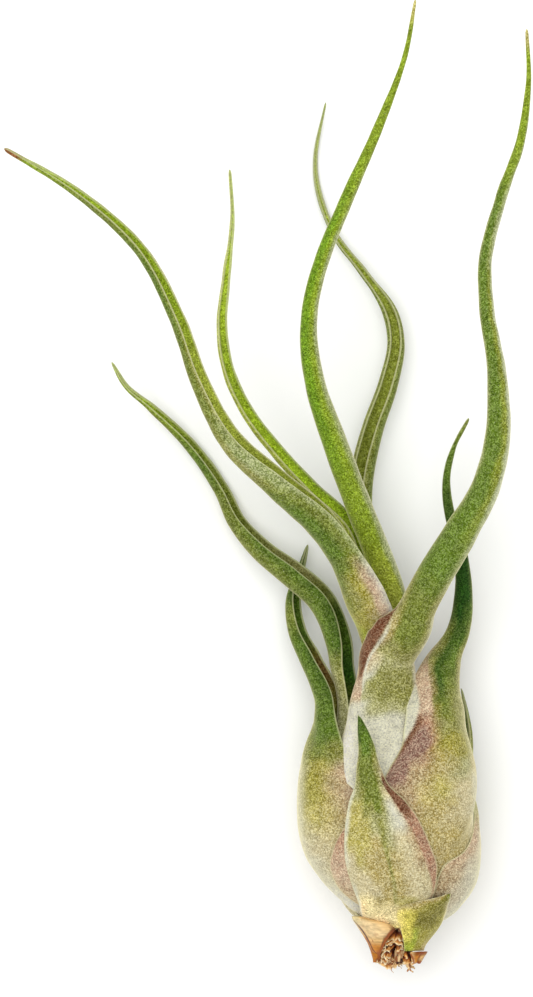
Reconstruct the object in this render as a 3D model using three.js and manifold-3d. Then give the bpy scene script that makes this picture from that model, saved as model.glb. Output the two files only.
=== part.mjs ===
// A bulbous air plant, lying on its back as it would on a table. Millimetres, +Z up, +Y towards the tips.
// The plant is a short woody stem with a rosette of leaves. Each leaf is one piece: a broad thin sheath
// that wraps the stem and bulges out with its neighbours into a false bulb, and a blade rolled into a
// channel that tapers to a point. Every leaf here is one closed solid, made as a grid of points along and
// across it, with an outer and an inner face. Sheaths lie in layers, so each is pressed inwards by the
// thickness of those that cover it.
import * as THREE from "three";
import Module from "manifold-3d";
import { mergeVertices } from "three/addons/utils/BufferGeometryUtils.js";

// Driving dimensions. Heights along the bulb count from the stem's cut base, at 0, towards the leaf tips.
const REST_HEIGHT = 31; // of the widest place, which lies on the table
const AXIS_Z = 17.3; // the bulb's axis above the table
const BULB_DEPTH = 0.88; // the bulb's depth as a share of its width, as it is a little flattened
const SHEATH_WALL = 0.8;
const BLADE_WALL = 0.9;
const MARGIN_SHARE = 0.8; // a margin's thickness as a share of the middle's
const LAYER = 1.25; // from one sheath's outer face to the next: a wall and the air between
const CLEARANCE = 0.35; // left between two pieces that lie on each other
const PRESS_PAD = 1; // how far beyond an outer leaf's end the inner ones stay pressed
const PRESS_FALL = 6; // how far they then take to rise
const PRESS_PAD_DEG = 6; // the same two beyond its margins, in degrees round the bulb
const PRESS_FALL_DEG = 20;
const SWELL_FULL_DEG = 18; // within this of its azimuth a leaf is fully swollen
const SWELL_NONE_DEG = 75; // and beyond this it isn't swollen at all
const NUDGE = 0.3; // how far facets that would still meet are kept apart
const BASE_STEP = 0.2; // a leaf's base stands this far above the height where it first clears the stem
const SOLID_SHARE = 0.12; // near the tip a blade's hollow is never less than this share of its radius
const LAST_SHARE = 0.9995; // of a blade's route, where its tip ends
const ROUTE_STEPS = 400; // into which a route is cut to measure its length
const SEARCH_STEPS = 30; // halvings, when a height is looked for along the low part of a route
const SEARCH_SHARE = 0.6;
const CLIMB_STEP = 0.1; // by which a leaf's base climbs until it clears the stem
const SAME_POINT = 1e-4; // corners this near to each other are one

const STEM_AROUND = 14; // facets round the stem, and rows along it
const STEM_ROWS = 20;
const STUB_TOP = 7; // the stem is lumpy below this height
const STUB_LUMPS = 0.2; // as a share of its radius
const STUB_SHIFT = 0.2; // the stub stands this far to the left of the bulb's middle
const STUB_SEED = 7;
const ROOTS = 11;
const ROOT_SEED = 31;
const ROOT_AROUND = 6;
const ROOT_ROWS = 5;
const ROOT_RADIUS = 0.6;
const ROOT_TAPER = 0.28; // the radius lost towards its tip
const ROOT_SHORTEST = 2.6;
const ROOT_LONGER = 2.4; // the most by which a root is longer than that
const ROOT_CURL = 2.4;

// Rows of height, then a size. AXIS is how far the bulb's middle stands to the right, as the stem leans.
// OUTLINE is the radius of the false bulb; BODY is that of the narrower body that the inner leaves make.
const AXIS = [[0, 2.7], [11, 2.8], [15.4, 2.8], [20, 1.8], [23, 1.1], [26.4, 0.5], [31, 0.1], [36, 0]];
const OUTLINE = [[0, 6.0], [2.9, 6.9], [6, 8.7], [9.5, 11.2], [11, 12.7], [15.4, 16], [20, 18.4],
  [23, 19.4], [26.4, 19.9], [31, 20.1], [36, 20], [44, 19.1], [50.6, 17.3], [55, 16.6], [60, 15],
  [80, 12]];
const BODY = [[0, 6.0], [2.9, 6.9], [6, 8.7], [9.5, 11.2], [11, 12.7], [15.4, 16], [20, 18.4],
  [23, 19.4], [26.4, 19.9], [30, 19.8], [35, 18.9], [39.6, 17.2], [43, 15.2], [47, 12.9], [52, 10.4],
  [57, 9], [61.6, 7.9], [67, 6.7], [72, 6.2], [80, 5.6]];
const STEM = [[-2.9, 2.3], [-1.8, 3.4], [0, 4.1], [2, 4.1], [6.5, 4.4], [12, 4.2], [20, 3.4], [26, 2.2],
  [30, 1.2]];

// The leaves, from the outermost sheath to the innermost.
// azimuth: degrees round the axis, 0 right, 90 up to the viewer, 180 left, 270 down to the table.
// swell: how much the sheath fills out to the bulb's outline, from 0 at the inner leaves to 1.
// from: the lowest height at which the leaf may be joined to the stem.
// across, sheath_rows, blade_rows: facets across each face, and rows along the sheath and the blade.
// margins: rows of height, then how far the sheath reaches from the azimuth to the left and to the right.
// turn: the heights between which the sheath rolls up into the blade. A leaf without it has no blade.
// route: the middle of the rolled blade, as x, height along the bulb, z above the table.
// girth: rows of share of the route, radius of the rolled blade.
// roll: rows of share of the route, half the angle that the blade wraps, in degrees.
// opens: rows of share of the route, then the way that the channel opens.
// flare: rows of share of the route, then how far the left margin stands out of the roll.
const LEAVES = [
  {
    name: "dry_skin", colour: 0xc98f4e, azimuth: 165, swell: 1, from: -0.9, across: 8, sheath_rows: 9,
    margins: [[-0.9, 56, 4], [0.4, 60, 10], [1.5, 62, 22], [3, 62, 36], [5.5, 56, 56], [7, 46, 66],
      [8.3, 34, 52], [9.6, 12, 14]],
  },
  {
    name: "dry_skin_flap", colour: 0xc98f4e, azimuth: 40, swell: 1, from: -1, across: 6, sheath_rows: 4,
    margins: [[-1, 14, 6], [-0.2, 22, 18], [0.5, 24, 30], [1.2, 20, 38], [1.8, 4, 40]],
  },
  {
    name: "bract_lower_right", colour: 0x9aa64a, azimuth: 44, swell: 1, from: 1.3, across: 8, sheath_rows: 10,
    margins: [[1, 34, 60], [4, 39, 54], [7.7, 48, 34], [10, 51, 20], [11.2, 49, 13], [12.3, 42, 8],
      [13.2, 29, 6], [13.9, 12, 4], [14.7, 2, 2]],
  },
  {
    name: "leaf_front_short", colour: 0x93a06a, azimuth: 100, swell: 1, from: 6.9, across: 10,
    margins: [[6, 80, 80], [9, 62, 66], [13.2, 36, 44], [15.8, 33, 41], [20, 28, 41], [25.3, 23, 37],
      [30.8, 19.5, 30.5], [35.4, 16.5, 20.7], [40, 11.7, 10], [44, 9, 7]],
    turn: [35, 44],
    route: [[-3.6, 34, 31.4], [-4.2, 40.7, 31.6], [-4.6, 46.2, 31.9], [-5.7, 51, 32.2],
      [-6.3, 53.2, 32.6], [-6.7, 54.1, 33]],
    girth: [[0, 3.9], [0.33, 3.1], [0.6, 2.0], [0.84, 1.1], [0.95, 0.55], [1, 0.32]],
    roll: [[0, 70], [1, 80]],
    opens: [[0, 0.1, 0, -1], [1, 0.2, 0, -1]],
    blade_rows: 6, sheath_rows: 13,
  },
  {
    name: "leaf_back_short", colour: 0x7f9160, azimuth: 262, swell: 1, from: 6.9, across: 8,
    margins: [[6, 85, 85], [14, 66, 66], [22, 54, 52], [30, 46, 44], [38, 30, 30], [46, 14, 14]],
    turn: [38, 48],
    route: [[-2.2, 36, 4.2], [-2.4, 42, 3.5], [-2, 48, 3.0], [-1, 54, 3.0], [0.5, 60, 3.4], [1.5, 65, 4.4]],
    girth: [[0, 3.2], [0.4, 2.2], [0.8, 1.2], [1, 0.32]],
    roll: [[0, 85], [1, 80]],
    opens: [[0, 0.1, 0, 1], [1, -0.2, 0, 1]],
    blade_rows: 7, sheath_rows: 12,
  },
  {
    name: "leaf_right_outer", colour: 0x8f9268, azimuth: 325, swell: 1, from: 7, across: 8,
    margins: [[6, 80, 85], [10, 84, 76], [16.5, 90, 66], [20.7, 86, 60], [24.6, 64, 54], [29.5, 45, 44],
      [36, 26, 28], [42, 14, 14]],
    turn: [34, 44],
    route: [[14.6, 32, 9.5], [16.1, 38, 9.5], [17, 44, 9.4], [17.3, 50, 9.4], [16.8, 55.5, 9.2],
      [16.2, 59.6, 8.8]],
    girth: [[0, 3.0], [0.4, 2.0], [0.75, 1.1], [1, 0.32]],
    roll: [[0, 85], [1, 80]],
    opens: [[0, -0.8, 0, 0.5], [1, -0.8, 0, 0.4]],
    blade_rows: 7, sheath_rows: 12,
  },
  {
    name: "leaf_right_curved", colour: 0x6f8640, azimuth: 8, swell: 1, from: 7.4, across: 12,
    margins: [[7, 110, 90], [11, 140, 92], [15.4, 146, 92], [19.8, 140, 90], [24.2, 129, 86], [29, 117, 80],
      [34, 99, 70], [42.2, 81, 58], [48, 66, 46], [53, 62, 36], [58, 66, 30], [64, 70, 26], [70, 60, 24]],
    turn: [50, 71],
    route: [[15.6, 40, 16.5], [15.8, 46, 16.4], [14.2, 52.8, 16.2], [12.7, 59, 16], [12.8, 65.5, 15.4],
      [15.6, 72.6, 14.4], [16.7, 80.5, 13.4], [15.8, 90.6, 13], [13.6, 98.5, 13.6], [12.9, 105.6, 14.8],
      [14.4, 112.5, 16], [17.8, 119.2, 17]],
    girth: [[0, 4.6], [0.22, 4.4], [0.3, 3.9], [0.37, 2.8], [0.42, 2.5], [0.6, 1.6], [0.8, 1.0],
      [0.93, 0.55], [1, 0.32]],
    roll: [[0, 110], [0.25, 145], [1, 120]],
    opens: [[0, -1, 0, 0], [0.4, -0.9, 0, -0.45], [1, -0.8, 0.3, -0.5]],
    blade_rows: 17, sheath_rows: 13,
  },
  {
    name: "leaf_front_tall", colour: 0x7d9a58, azimuth: 88, swell: 0, from: 8, across: 10,
    margins: [[8, 60, 85], [14, 50, 80], [22, 42, 76], [30, 30, 74], [36.7, 29, 76], [39.6, 40, 78],
      [43, 49, 80], [50, 62, 82], [56, 76, 82], [61.6, 84, 84], [67, 84, 84], [76, 80, 80]],
    turn: [57, 73],
    route: [[0, 54, 20], [0, 61, 20], [0.4, 66, 20.8], [2, 68.8, 21.8], [3.3, 70.8, 22.8],
      [4.8, 73.8, 24.6], [5.9, 76.4, 26.2], [7.6, 80, 27.8], [10.6, 85.4, 30.2], [16, 94.4, 34],
      [21.2, 104, 37.6], [23.8, 115, 40], [23.6, 129, 41], [21.4, 143, 40.4], [21.2, 154, 39.6],
      [24.8, 168, 38.6], [28.8, 179.6, 38.2], [30.6, 193, 37.8], [30.2, 204.2, 37.6]],
    girth: [[0, 8.2], [0.043, 7.3], [0.075, 6.4], [0.093, 5.6], [0.11, 5.2], [0.13, 5], [0.146, 4.7],
      [0.172, 4.05], [0.21, 3.95], [0.27, 3.85], [0.34, 3.3], [0.45, 2.7], [0.58, 1.75], [0.7, 1.4],
      [0.82, 1.1], [0.93, 0.6], [1, 0.32]],
    roll: [[0, 80], [0.1, 88], [0.16, 110], [0.26, 150], [1, 140]],
    flare: [[0.05, 0], [0.09, 2.4], [0.11, 3.2], [0.13, 2.8], [0.155, 0]],
    opens: [[0, 0, 0, -1], [0.12, -0.45, 0.1, -0.9], [0.3, -0.5, 0.1, -0.85], [1, -0.6, 0, -0.8]],
    blade_rows: 25, sheath_rows: 15,
  },
  {
    name: "leaf_left_short", colour: 0x5f7f30, azimuth: 180, swell: 1, from: 9, across: 8,
    margins: [[9, 80, 80], [20, 80, 80], [28, 74, 74], [36.7, 62, 64], [43.6, 50, 53], [49, 42, 44],
      [56, 26, 30]],
    turn: [42, 60],
    route: [[-15.6, 40, 16], [-15.2, 44, 15.8], [-13.6, 50, 15], [-13.3, 57.5, 13.4], [-16.9, 66, 10.6],
      [-19.9, 72.5, 8], [-20.7, 79.2, 5.4], [-19.4, 84.6, 3.2], [-17.6, 91.3, 2.6]],
    girth: [[0, 4.2], [0.2, 3.5], [0.4, 2.8], [0.6, 2.2], [0.78, 1.7], [0.9, 0.9], [1, 0.32]],
    roll: [[0, 105], [0.3, 135], [1, 115]],
    opens: [[0, 1, 0, 0.1], [0.4, 0.85, 0.2, 0.45], [0.75, 0.8, 0.2, 0.6], [1, 0.7, 0.1, 0.7]],
    blade_rows: 15, sheath_rows: 14,
  },
  {
    name: "leaf_left_low", colour: 0x4f7a24, azimuth: 212, swell: 0.4, from: 10, across: 8,
    margins: [[10, 80, 80], [24, 74, 74], [34, 66, 66], [44, 56, 56], [52, 44, 44], [60, 30, 30]],
    turn: [48, 66],
    route: [[-8.6, 46, 12.4], [-8.8, 52, 12], [-9.2, 58, 12], [-9.6, 64, 12.2], [-10.6, 69.8, 12.2],
      [-14.6, 79, 12], [-20.5, 84.4, 11], [-27.7, 90, 8], [-33.3, 96.4, 3.9], [-36.9, 103.8, 1.8],
      [-43.6, 113.3, 2.4], [-52.2, 121.6, 6], [-57.6, 126.2, 8.6], [-60.9, 131.6, 11]],
    girth: [[0, 3.2], [0.2, 3.1], [0.38, 3.0], [0.5, 2.4], [0.62, 1.8], [0.78, 1.35], [0.9, 0.8],
      [1, 0.32]],
    roll: [[0, 90], [0.15, 105], [0.3, 145], [1, 125]],
    opens: [[0, 0.9, 0, 0.4], [0.35, 0.75, 0.4, 0.5], [0.6, 0.7, 0.5, 0.65], [1, 0.4, 0.5, 0.8]],
    blade_rows: 20, sheath_rows: 12,
  },
  {
    name: "leaf_back_curved", colour: 0x6d7f33, azimuth: 278, swell: 0, from: 12, across: 8,
    margins: [[12, 80, 80], [30, 72, 72], [40, 62, 62], [50, 54, 54], [58, 46, 46], [66, 40, 40]],
    turn: [56, 74],
    route: [[1, 52, 12.4], [0.6, 60, 11.6], [0, 68, 10], [-1.8, 77, 8.6], [-4.4, 87, 7.8],
      [-6, 97, 7.4], [-5.6, 106.7, 7.2], [-3.2, 117, 6.8], [0.2, 127, 6.2], [1.9, 136, 5.6],
      [0.4, 143, 5], [-5.4, 151.6, 4], [-11.4, 159.6, 2.0], [-15.2, 169.4, 0.75], [-15.9, 177, 0.8],
      [-13.6, 189.2, 2.4]],
    girth: [[0, 3.4], [0.2, 2.9], [0.4, 2.6], [0.56, 2.1], [0.64, 1.7], [0.7, 1.05], [0.85, 0.65],
      [1, 0.32]],
    roll: [[0, 80], [0.15, 95], [0.3, 135], [1, 115]],
    opens: [[0, 0, 0, 1], [0.35, -0.35, 0, 0.95], [0.55, -0.15, 0, 1], [0.7, 0.2, 0, 1], [1, 0, 0, 1]],
    blade_rows: 23, sheath_rows: 12,
  },
  {
    name: "leaf_left_long", colour: 0x7f9a45, azimuth: 128, swell: 0, from: 14, across: 8,
    margins: [[14, 80, 80], [34, 78, 78], [46, 78, 78], [56, 80, 80], [66, 84, 84], [76, 84, 84]],
    turn: [62, 80],
    route: [[-1.2, 58, 17.2], [-1.6, 65, 17.8], [-2.2, 71, 19], [-3.6, 77.6, 21.4], [-8.2, 87.6, 25.4],
      [-14.3, 95.9, 29], [-24.9, 105.2, 33], [-34.6, 114.4, 35.4], [-41.4, 127.4, 36.2],
      [-46.2, 140.8, 35.2], [-54.4, 156, 32.6], [-68, 168.4, 29.6], [-84.3, 178.4, 27]],
    girth: [[0, 5.6], [0.1, 5.3], [0.15, 5.2], [0.22, 4.1], [0.33, 3.5], [0.43, 2.9], [0.54, 2.1],
      [0.7, 1.6], [0.85, 1.15], [1, 0.55]],
    roll: [[0, 88], [0.14, 105], [0.3, 148], [1, 140]],
    opens: [[0, 0.55, 0, -0.6], [0.12, 0.65, 0, -0.6], [0.25, 0.9, 0.2, -0.1], [0.4, 0.75, 0.5, 0.35],
      [0.7, 0.8, 0.4, 0.3], [1, 0.6, 0.6, 0.1]],
    blade_rows: 23, sheath_rows: 12,
  },
  {
    name: "leaf_centre_tall", colour: 0x74a01a, azimuth: 20, swell: 0, from: 16, across: 8,
    margins: [[16, 80, 80], [38, 74, 74], [50, 68, 68], [60, 62, 62], [70, 56, 56]],
    turn: [60, 78],
    route: [[3.4, 58, 15.6], [3.2, 66, 15], [2.4, 74, 15.2], [0.6, 81.6, 16], [-2.4, 89.8, 18],
      [-6.4, 99.6, 21.2], [-11.6, 113.4, 26], [-16, 126.4, 30], [-17.5, 138.6, 32.4],
      [-15.6, 150.6, 33.6], [-9.8, 165.6, 34.2], [-2.4, 182.4, 34.4], [3.6, 198.4, 34.4],
      [5.9, 210.8, 34.4]],
    girth: [[0, 3.0], [0.2, 3.0], [0.35, 2.8], [0.45, 2.3], [0.55, 1.8], [0.7, 1.5], [0.8, 1.15],
      [0.92, 0.6], [1, 0.32]],
    roll: [[0, 90], [0.15, 110], [0.28, 148], [1, 140]],
    opens: [[0, -0.9, 0, 0.1], [0.12, -0.5, 0, -0.5], [0.25, -0.3, 0, -0.95], [1, -0.3, 0.2, -0.9]],
    blade_rows: 24, sheath_rows: 12,
  },
  {
    name: "leaf_left_thin", colour: 0x93b42c, azimuth: 235, swell: 0, from: 18, across: 6,
    margins: [[18, 76, 76], [40, 70, 70], [52, 62, 62], [62, 54, 54], [72, 46, 46]],
    turn: [58, 76],
    route: [[-0.6, 58, 14], [-1, 68, 13.2], [-2.2, 76, 12.8], [-4.6, 86, 13.8], [-8.4, 95.6, 16.4],
      [-16.4, 103.8, 20], [-24.4, 112.4, 23.4], [-31.2, 121, 26.4], [-35.2, 130, 28.8],
      [-36.5, 139.7, 30.4], [-35.6, 149.6, 31.4], [-34.2, 162.8, 32], [-34.8, 173.6, 32.4]],
    girth: [[0, 1.9], [0.3, 1.5], [0.5, 1.3], [0.66, 1.0], [0.8, 0.8], [0.92, 0.45], [1, 0.32]],
    roll: [[0, 90], [0.3, 130], [1, 110]],
    opens: [[0, 0.4, 0, 0.9], [0.3, 0.4, 0.3, 0.9], [1, 0.2, 0, 1]],
    blade_rows: 18, sheath_rows: 11,
  },
];

const DEGREE = Math.PI / 180;
const clamp = (x, low, high) => Math.min(Math.max(x, low), high);
const ease = (from, to, x) => {
  const t = clamp((x - from) / (to - from), 0, 1);
  return t * t * (3 - 2 * t);
};

// A smooth curve through the rows [x, value, ...], flat beyond its ends: the value in the given column at
// x.
function along(rows, x, column = 1) {
  const last = rows.length - 1;
  if (x <= rows[0][0]) return rows[0][column];
  if (x >= rows[last][0]) return rows[last][column];
  const i = rows.findIndex((row) => row[0] > x) - 1;
  const rise = (k) => (rows[k + 1][column] - rows[k][column]) / (rows[k + 1][0] - rows[k][0]);
  // The slope at a row is the harmonic mean of its two sides', so the curve never overshoots.
  const slope = (k) => {
    if (k === 0) return rise(0);
    if (k === last) return rise(last - 1);
    const a = rise(k - 1);
    const b = rise(k);
    return a * b <= 0 ? 0 : (2 * a * b) / (a + b);
  };
  const width = rows[i + 1][0] - rows[i][0];
  const t = (x - rows[i][0]) / width;
  const [p, q] = [rows[i][column], rows[i + 1][column]];
  return (1 + 2 * t) * (1 - t) ** 2 * p + t * (1 - t) ** 2 * width * slope(i)
    + t * t * (3 - 2 * t) * q + t * t * (t - 1) * width * slope(i + 1);
}

const topOf = (leaf) => (leaf.turn ? leaf.turn[1] : leaf.margins[leaf.margins.length - 1][0]);

// The signed angle from a leaf's azimuth to another, in degrees, from -180 to 180. Left is positive.
const turnTo = (leaf, azimuth) => ((azimuth - leaf.azimuth + 540) % 360 + 360) % 360 - 180;

// How much of one layer a leaf's sheath presses on what lies under it: 1 beneath it, easing to 0 beside it.
function cover(leaf, azimuth, height) {
  const away = turnTo(leaf, azimuth);
  const reach = along(leaf.margins, height, away > 0 ? 1 : 2);
  const below = 1 - ease(topOf(leaf) + PRESS_PAD, topOf(leaf) + PRESS_PAD + PRESS_FALL, height);
  return below * (1 - ease(reach + PRESS_PAD_DEG, reach + PRESS_PAD_DEG + PRESS_FALL_DEG, Math.abs(away)));
}

// How many layers lie over leaf number i, at an azimuth and a height.
function layersOver(i, azimuth, height) {
  return LEAVES.slice(0, i).reduce((sum, outer) => sum + cover(outer, azimuth, height), 0);
}

// The radius of leaf number i's outer face, at an azimuth and a height.
function sheathRadius(i, azimuth, height) {
  const leaf = LEAVES[i];
  const near = leaf.swell * (1 - ease(SWELL_FULL_DEG, SWELL_NONE_DEG, Math.abs(turnTo(leaf, azimuth))));
  const envelope = along(BODY, height) + near * (along(OUTLINE, height) - along(BODY, height));
  return envelope - LAYER * layersOver(i, azimuth, height);
}

// The outer face of a sheath that lies on the stem.
const smallestRadius = (height) => along(STEM, height) + CLEARANCE + SHEATH_WALL;

// The height at which leaf number i's sheath meets the stem, which is higher for each leaf further in.
function baseHeight(i) {
  const clear = (height) => sheathRadius(i, LEAVES[i].azimuth, height) > smallestRadius(height);
  let height = LEAVES[i].from;
  while (!clear(height)) height += CLIMB_STEP;
  return height + BASE_STEP;
}

// A point of the sheath, at u from -1 at its right margin to 1 at its left, at a depth under its outer
// face.
function sheathPoint(i, height, u, depth) {
  const leaf = LEAVES[i];
  const azimuth = leaf.azimuth + u * along(leaf.margins, height, u > 0 ? 1 : 2);
  const radius = Math.max(sheathRadius(i, azimuth, height), smallestRadius(height)) - depth;
  const x = along(AXIS, height) + radius * Math.cos(azimuth * DEGREE);
  const z = AXIS_Z + BULB_DEPTH * radius * Math.sin(azimuth * DEGREE);
  // The widest place is flat where it lies on the table.
  const flat = depth + LAYER * layersOver(i, azimuth, height);
  return new THREE.Vector3(x, height, Math.max(z, flat));
}

// A point of the rolled blade, at a share of its route.
function bladePoint(leaf, reached, u, depth) {
  const share = Math.min(reached, LAST_SHARE);
  const middle = leaf.curve.getPointAt(share);
  const tangent = leaf.curve.getTangentAt(share);
  const open = new THREE.Vector3(...[1, 2, 3].map((column) => along(leaf.opens, share, column)));
  const keel = open.addScaledVector(tangent, -open.dot(tangent)).normalize().negate();
  const side = new THREE.Vector3().crossVectors(keel, tangent);
  const outer = along(leaf.girth, share) + (leaf.flare ? along(leaf.flare, share) * ease(0.5, 1, u) : 0);
  const radius = Math.max(outer - depth, SOLID_SHARE * outer);
  const angle = u * along(leaf.roll, share) * DEGREE;
  middle.addScaledVector(keel, radius * Math.cos(angle));
  return middle.addScaledVector(side, radius * Math.sin(angle));
}

// The share of a leaf's route at which it reaches a height.
function shareAt(leaf, height) {
  let [low, high] = [0, SEARCH_SHARE];
  for (let k = 0; k < SEARCH_STEPS; k++) {
    const middle = (low + high) / 2;
    if (leaf.curve.getPointAt(middle).y < height) low = middle;
    else high = middle;
  }
  return (low + high) / 2;
}

// The leaf's rows from base to tip: each gives a point at u and a depth of 0, outside, or 1, inside.
function leafRows(i) {
  const leaf = LEAVES[i];
  const base = baseHeight(i);
  const rows = [];
  const wall = (inner, u, full) => inner * full * (1 - (1 - MARGIN_SHARE) * u ** 4);
  if (leaf.route) {
    const points = leaf.route.map((point) => new THREE.Vector3(...point));
    leaf.curve = new THREE.CatmullRomCurve3(points, false, "centripetal");
    leaf.curve.arcLengthDivisions = ROUTE_STEPS;
  }
  for (let k = 0; k <= leaf.sheath_rows; k++) {
    const height = base + ((topOf(leaf) - base) * k) / leaf.sheath_rows;
    const rolled = leaf.turn ? ease(leaf.turn[0], leaf.turn[1], height) : 0;
    const share = rolled > 0 ? shareAt(leaf, height) : 0;
    rows.push((u, inner) => {
      const flat = sheathPoint(i, height, u, wall(inner, u, SHEATH_WALL));
      return rolled > 0 ? flat.lerp(bladePoint(leaf, share, u, wall(inner, u, BLADE_WALL)), rolled) : flat;
    });
  }
  if (!leaf.route) return rows;
  const start = shareAt(leaf, leaf.turn[1]);
  for (let k = 1; k <= leaf.blade_rows; k++) {
    const share = start + ((1 - start) * k) / leaf.blade_rows;
    rows.push((u, inner) => bladePoint(leaf, share, u, wall(inner, u, BLADE_WALL)));
  }
  return rows;
}

// A closed solid from the rows: an outer face, an inner face, two margins and two ends.
function leafGeometry(i) {
  const rows = leafRows(i);
  const across = LEAVES[i].across;
  const ring = 2 * (across + 1);
  const positions = [];
  for (const row of rows) {
    for (let k = 0; k < ring; k++) {
      const inner = k > across;
      const u = inner ? 1 - (2 * (k - across - 1)) / across : (2 * k) / across - 1;
      positions.push(...row(u, inner ? 1 : 0).toArray());
    }
  }
  const index = [];
  for (let r = 0; r < rows.length - 1; r++) {
    for (let k = 0; k < ring; k++) {
      const [a, b] = [r * ring + k, r * ring + ((k + 1) % ring)];
      index.push(a, a + ring, b, b, a + ring, b + ring);
    }
  }
  const last = (rows.length - 1) * ring;
  for (let k = 0; k < across; k++) {
    const [a, b, c, d] = [k, k + 1, ring - 1 - k, ring - 2 - k];
    index.push(a, b, c, b, d, c);
    index.push(last + a, last + c, last + b, last + b, last + c, last + d);
  }
  const geometry = new THREE.BufferGeometry();
  geometry.setAttribute("position", new THREE.Float32BufferAttribute(positions, 3));
  geometry.setIndex(index);
  return geometry;
}

// A tube through points, closed at both ends. Each point has a radius for each facet round it.
function tubeGeometry(points, radii, around, squash) {
  const positions = [];
  const index = [];
  points.forEach((point, r) => {
    const [before, after] = [points[Math.max(r - 1, 0)], points[Math.min(r + 1, points.length - 1)]];
    const ahead = after.clone().sub(before).normalize();
    const side = new THREE.Vector3(0, 0, 1).cross(ahead).normalize();
    const up = new THREE.Vector3().crossVectors(ahead, side);
    for (let k = 0; k < around; k++) {
      const angle = (2 * Math.PI * k) / around;
      const spot = point.clone().addScaledVector(side, radii[r][k] * Math.cos(angle));
      positions.push(...spot.addScaledVector(up, squash * radii[r][k] * Math.sin(angle)).toArray());
    }
  });
  for (let r = 0; r < points.length - 1; r++) {
    for (let k = 0; k < around; k++) {
      const [a, b] = [r * around + k, r * around + ((k + 1) % around)];
      index.push(a, b, a + around, b, b + around, a + around);
    }
  }
  const last = (points.length - 1) * around;
  for (let k = 1; k < around - 1; k++) {
    index.push(0, k + 1, k);
    index.push(last, last + k, last + k + 1);
  }
  const geometry = new THREE.BufferGeometry();
  geometry.setAttribute("position", new THREE.Float32BufferAttribute(positions, 3));
  geometry.setIndex(index);
  return geometry;
}

// A repeatable draw of numbers from 0 to 1.
function makeRandom(seed) {
  let state = seed;
  return () => {
    state = (state * 1664525 + 1013904223) % 4294967296;
    return state / 4294967296;
  };
}

// The woody stem, with the rough stub at its cut end.
function stemGeometry() {
  const random = makeRandom(STUB_SEED);
  const points = [];
  const radii = [];
  const [from, to] = [STEM[0][0], STEM[STEM.length - 1][0]];
  for (let r = 0; r <= STEM_ROWS; r++) {
    const height = from + ((to - from) * r) / STEM_ROWS;
    const rough = STUB_LUMPS * (1 - ease(STUB_TOP - 3, STUB_TOP, height));
    const lumps = Array.from({ length: STEM_AROUND }, () => 1 - rough * random());
    const shift = STUB_SHIFT * (1 - ease(-3, 4, height));
    points.push(new THREE.Vector3(along(AXIS, height) - shift, height, AXIS_Z));
    radii.push(lumps.map((lump) => along(STEM, height) * lump));
  }
  return tubeGeometry(points, radii, STEM_AROUND, BULB_DEPTH);
}

// One wiry root, dried short, that grows from within the stub at an angle round it.
function rootGeometry(random, angle) {
  const points = [];
  const radii = [];
  const way = new THREE.Vector3(Math.cos(angle), -0.5 - 0.5 * random(), 0.7 * Math.sin(angle)).normalize();
  const start = new THREE.Vector3(along(AXIS, 0) - STUB_SHIFT, 0.6, AXIS_Z).addScaledVector(way, 1.5);
  const length = ROOT_SHORTEST + ROOT_LONGER * random();
  const curl = new THREE.Vector3(random() - 0.5, random() - 0.7, random() - 0.5).multiplyScalar(ROOT_CURL);
  for (let r = 0; r <= ROOT_ROWS; r++) {
    const share = r / ROOT_ROWS;
    points.push(start.clone().addScaledVector(way, length * share).addScaledVector(curl, share * share));
    radii.push(Array(ROOT_AROUND).fill(ROOT_RADIUS - ROOT_TAPER * share));
  }
  return tubeGeometry(points, radii, ROOT_AROUND, 1);
}

const wasm = await Module();
wasm.setup();

function toManifold(geometry) {
  const merged = mergeVertices(geometry, SAME_POINT);
  return new wasm.Manifold(new wasm.Mesh({
    numProp: 3,
    vertProperties: new Float32Array(merged.getAttribute("position").array),
    triVerts: new Uint32Array(merged.index.array),
  }));
}

function fromManifold(solid) {
  const { vertProperties, triVerts } = solid.getMesh();
  const geometry = new THREE.BufferGeometry();
  geometry.setAttribute("position", new THREE.BufferAttribute(new Float32Array(vertProperties), 3));
  geometry.setIndex(new THREE.BufferAttribute(new Uint32Array(triVerts), 1));
  return geometry;
}

// The same solid with its faces moved outwards by a distance.
function grown(geometry, distance) {
  const copy = mergeVertices(geometry, SAME_POINT);
  copy.computeVertexNormals();
  const [position, normal] = [copy.getAttribute("position"), copy.getAttribute("normal")];
  for (let k = 0; k < position.count; k++) {
    const moved = new THREE.Vector3().fromBufferAttribute(position, k);
    moved.addScaledVector(new THREE.Vector3().fromBufferAttribute(normal, k), distance);
    position.setXYZ(k, moved.x, moved.y, moved.z);
  }
  return toManifold(new THREE.BufferGeometry().setAttribute("position", position).setIndex(copy.index));
}

// Where the facets of two sheaths would still meet, the inner one is pressed in by the outer.
function pressedApart(geometries) {
  const solids = geometries.map(toManifold);
  const biggest = (solid) => solid.decompose().sort((a, b) => b.volume() - a.volume())[0];
  geometries.forEach((outer, i) => {
    for (let j = i + 1; j < solids.length; j++) {
      if (solids[i].intersect(solids[j]).volume() <= 0) continue;
      solids[j] = biggest(solids[j].subtract(grown(outer, NUDGE)));
    }
  });
  return solids.map(fromManifold);
}

// The roots are sunk into the stub, and the whole is one solid.
function stemAndRoots() {
  const random = makeRandom(ROOT_SEED);
  let solid = toManifold(stemGeometry());
  for (let k = 0; k < ROOTS; k++) {
    solid = solid.add(toManifold(rootGeometry(random, (2 * Math.PI * (k + 0.6 * random())) / ROOTS)));
  }
  return fromManifold(solid);
}

const plant = new THREE.Group();
plant.position.y = -REST_HEIGHT;

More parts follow.
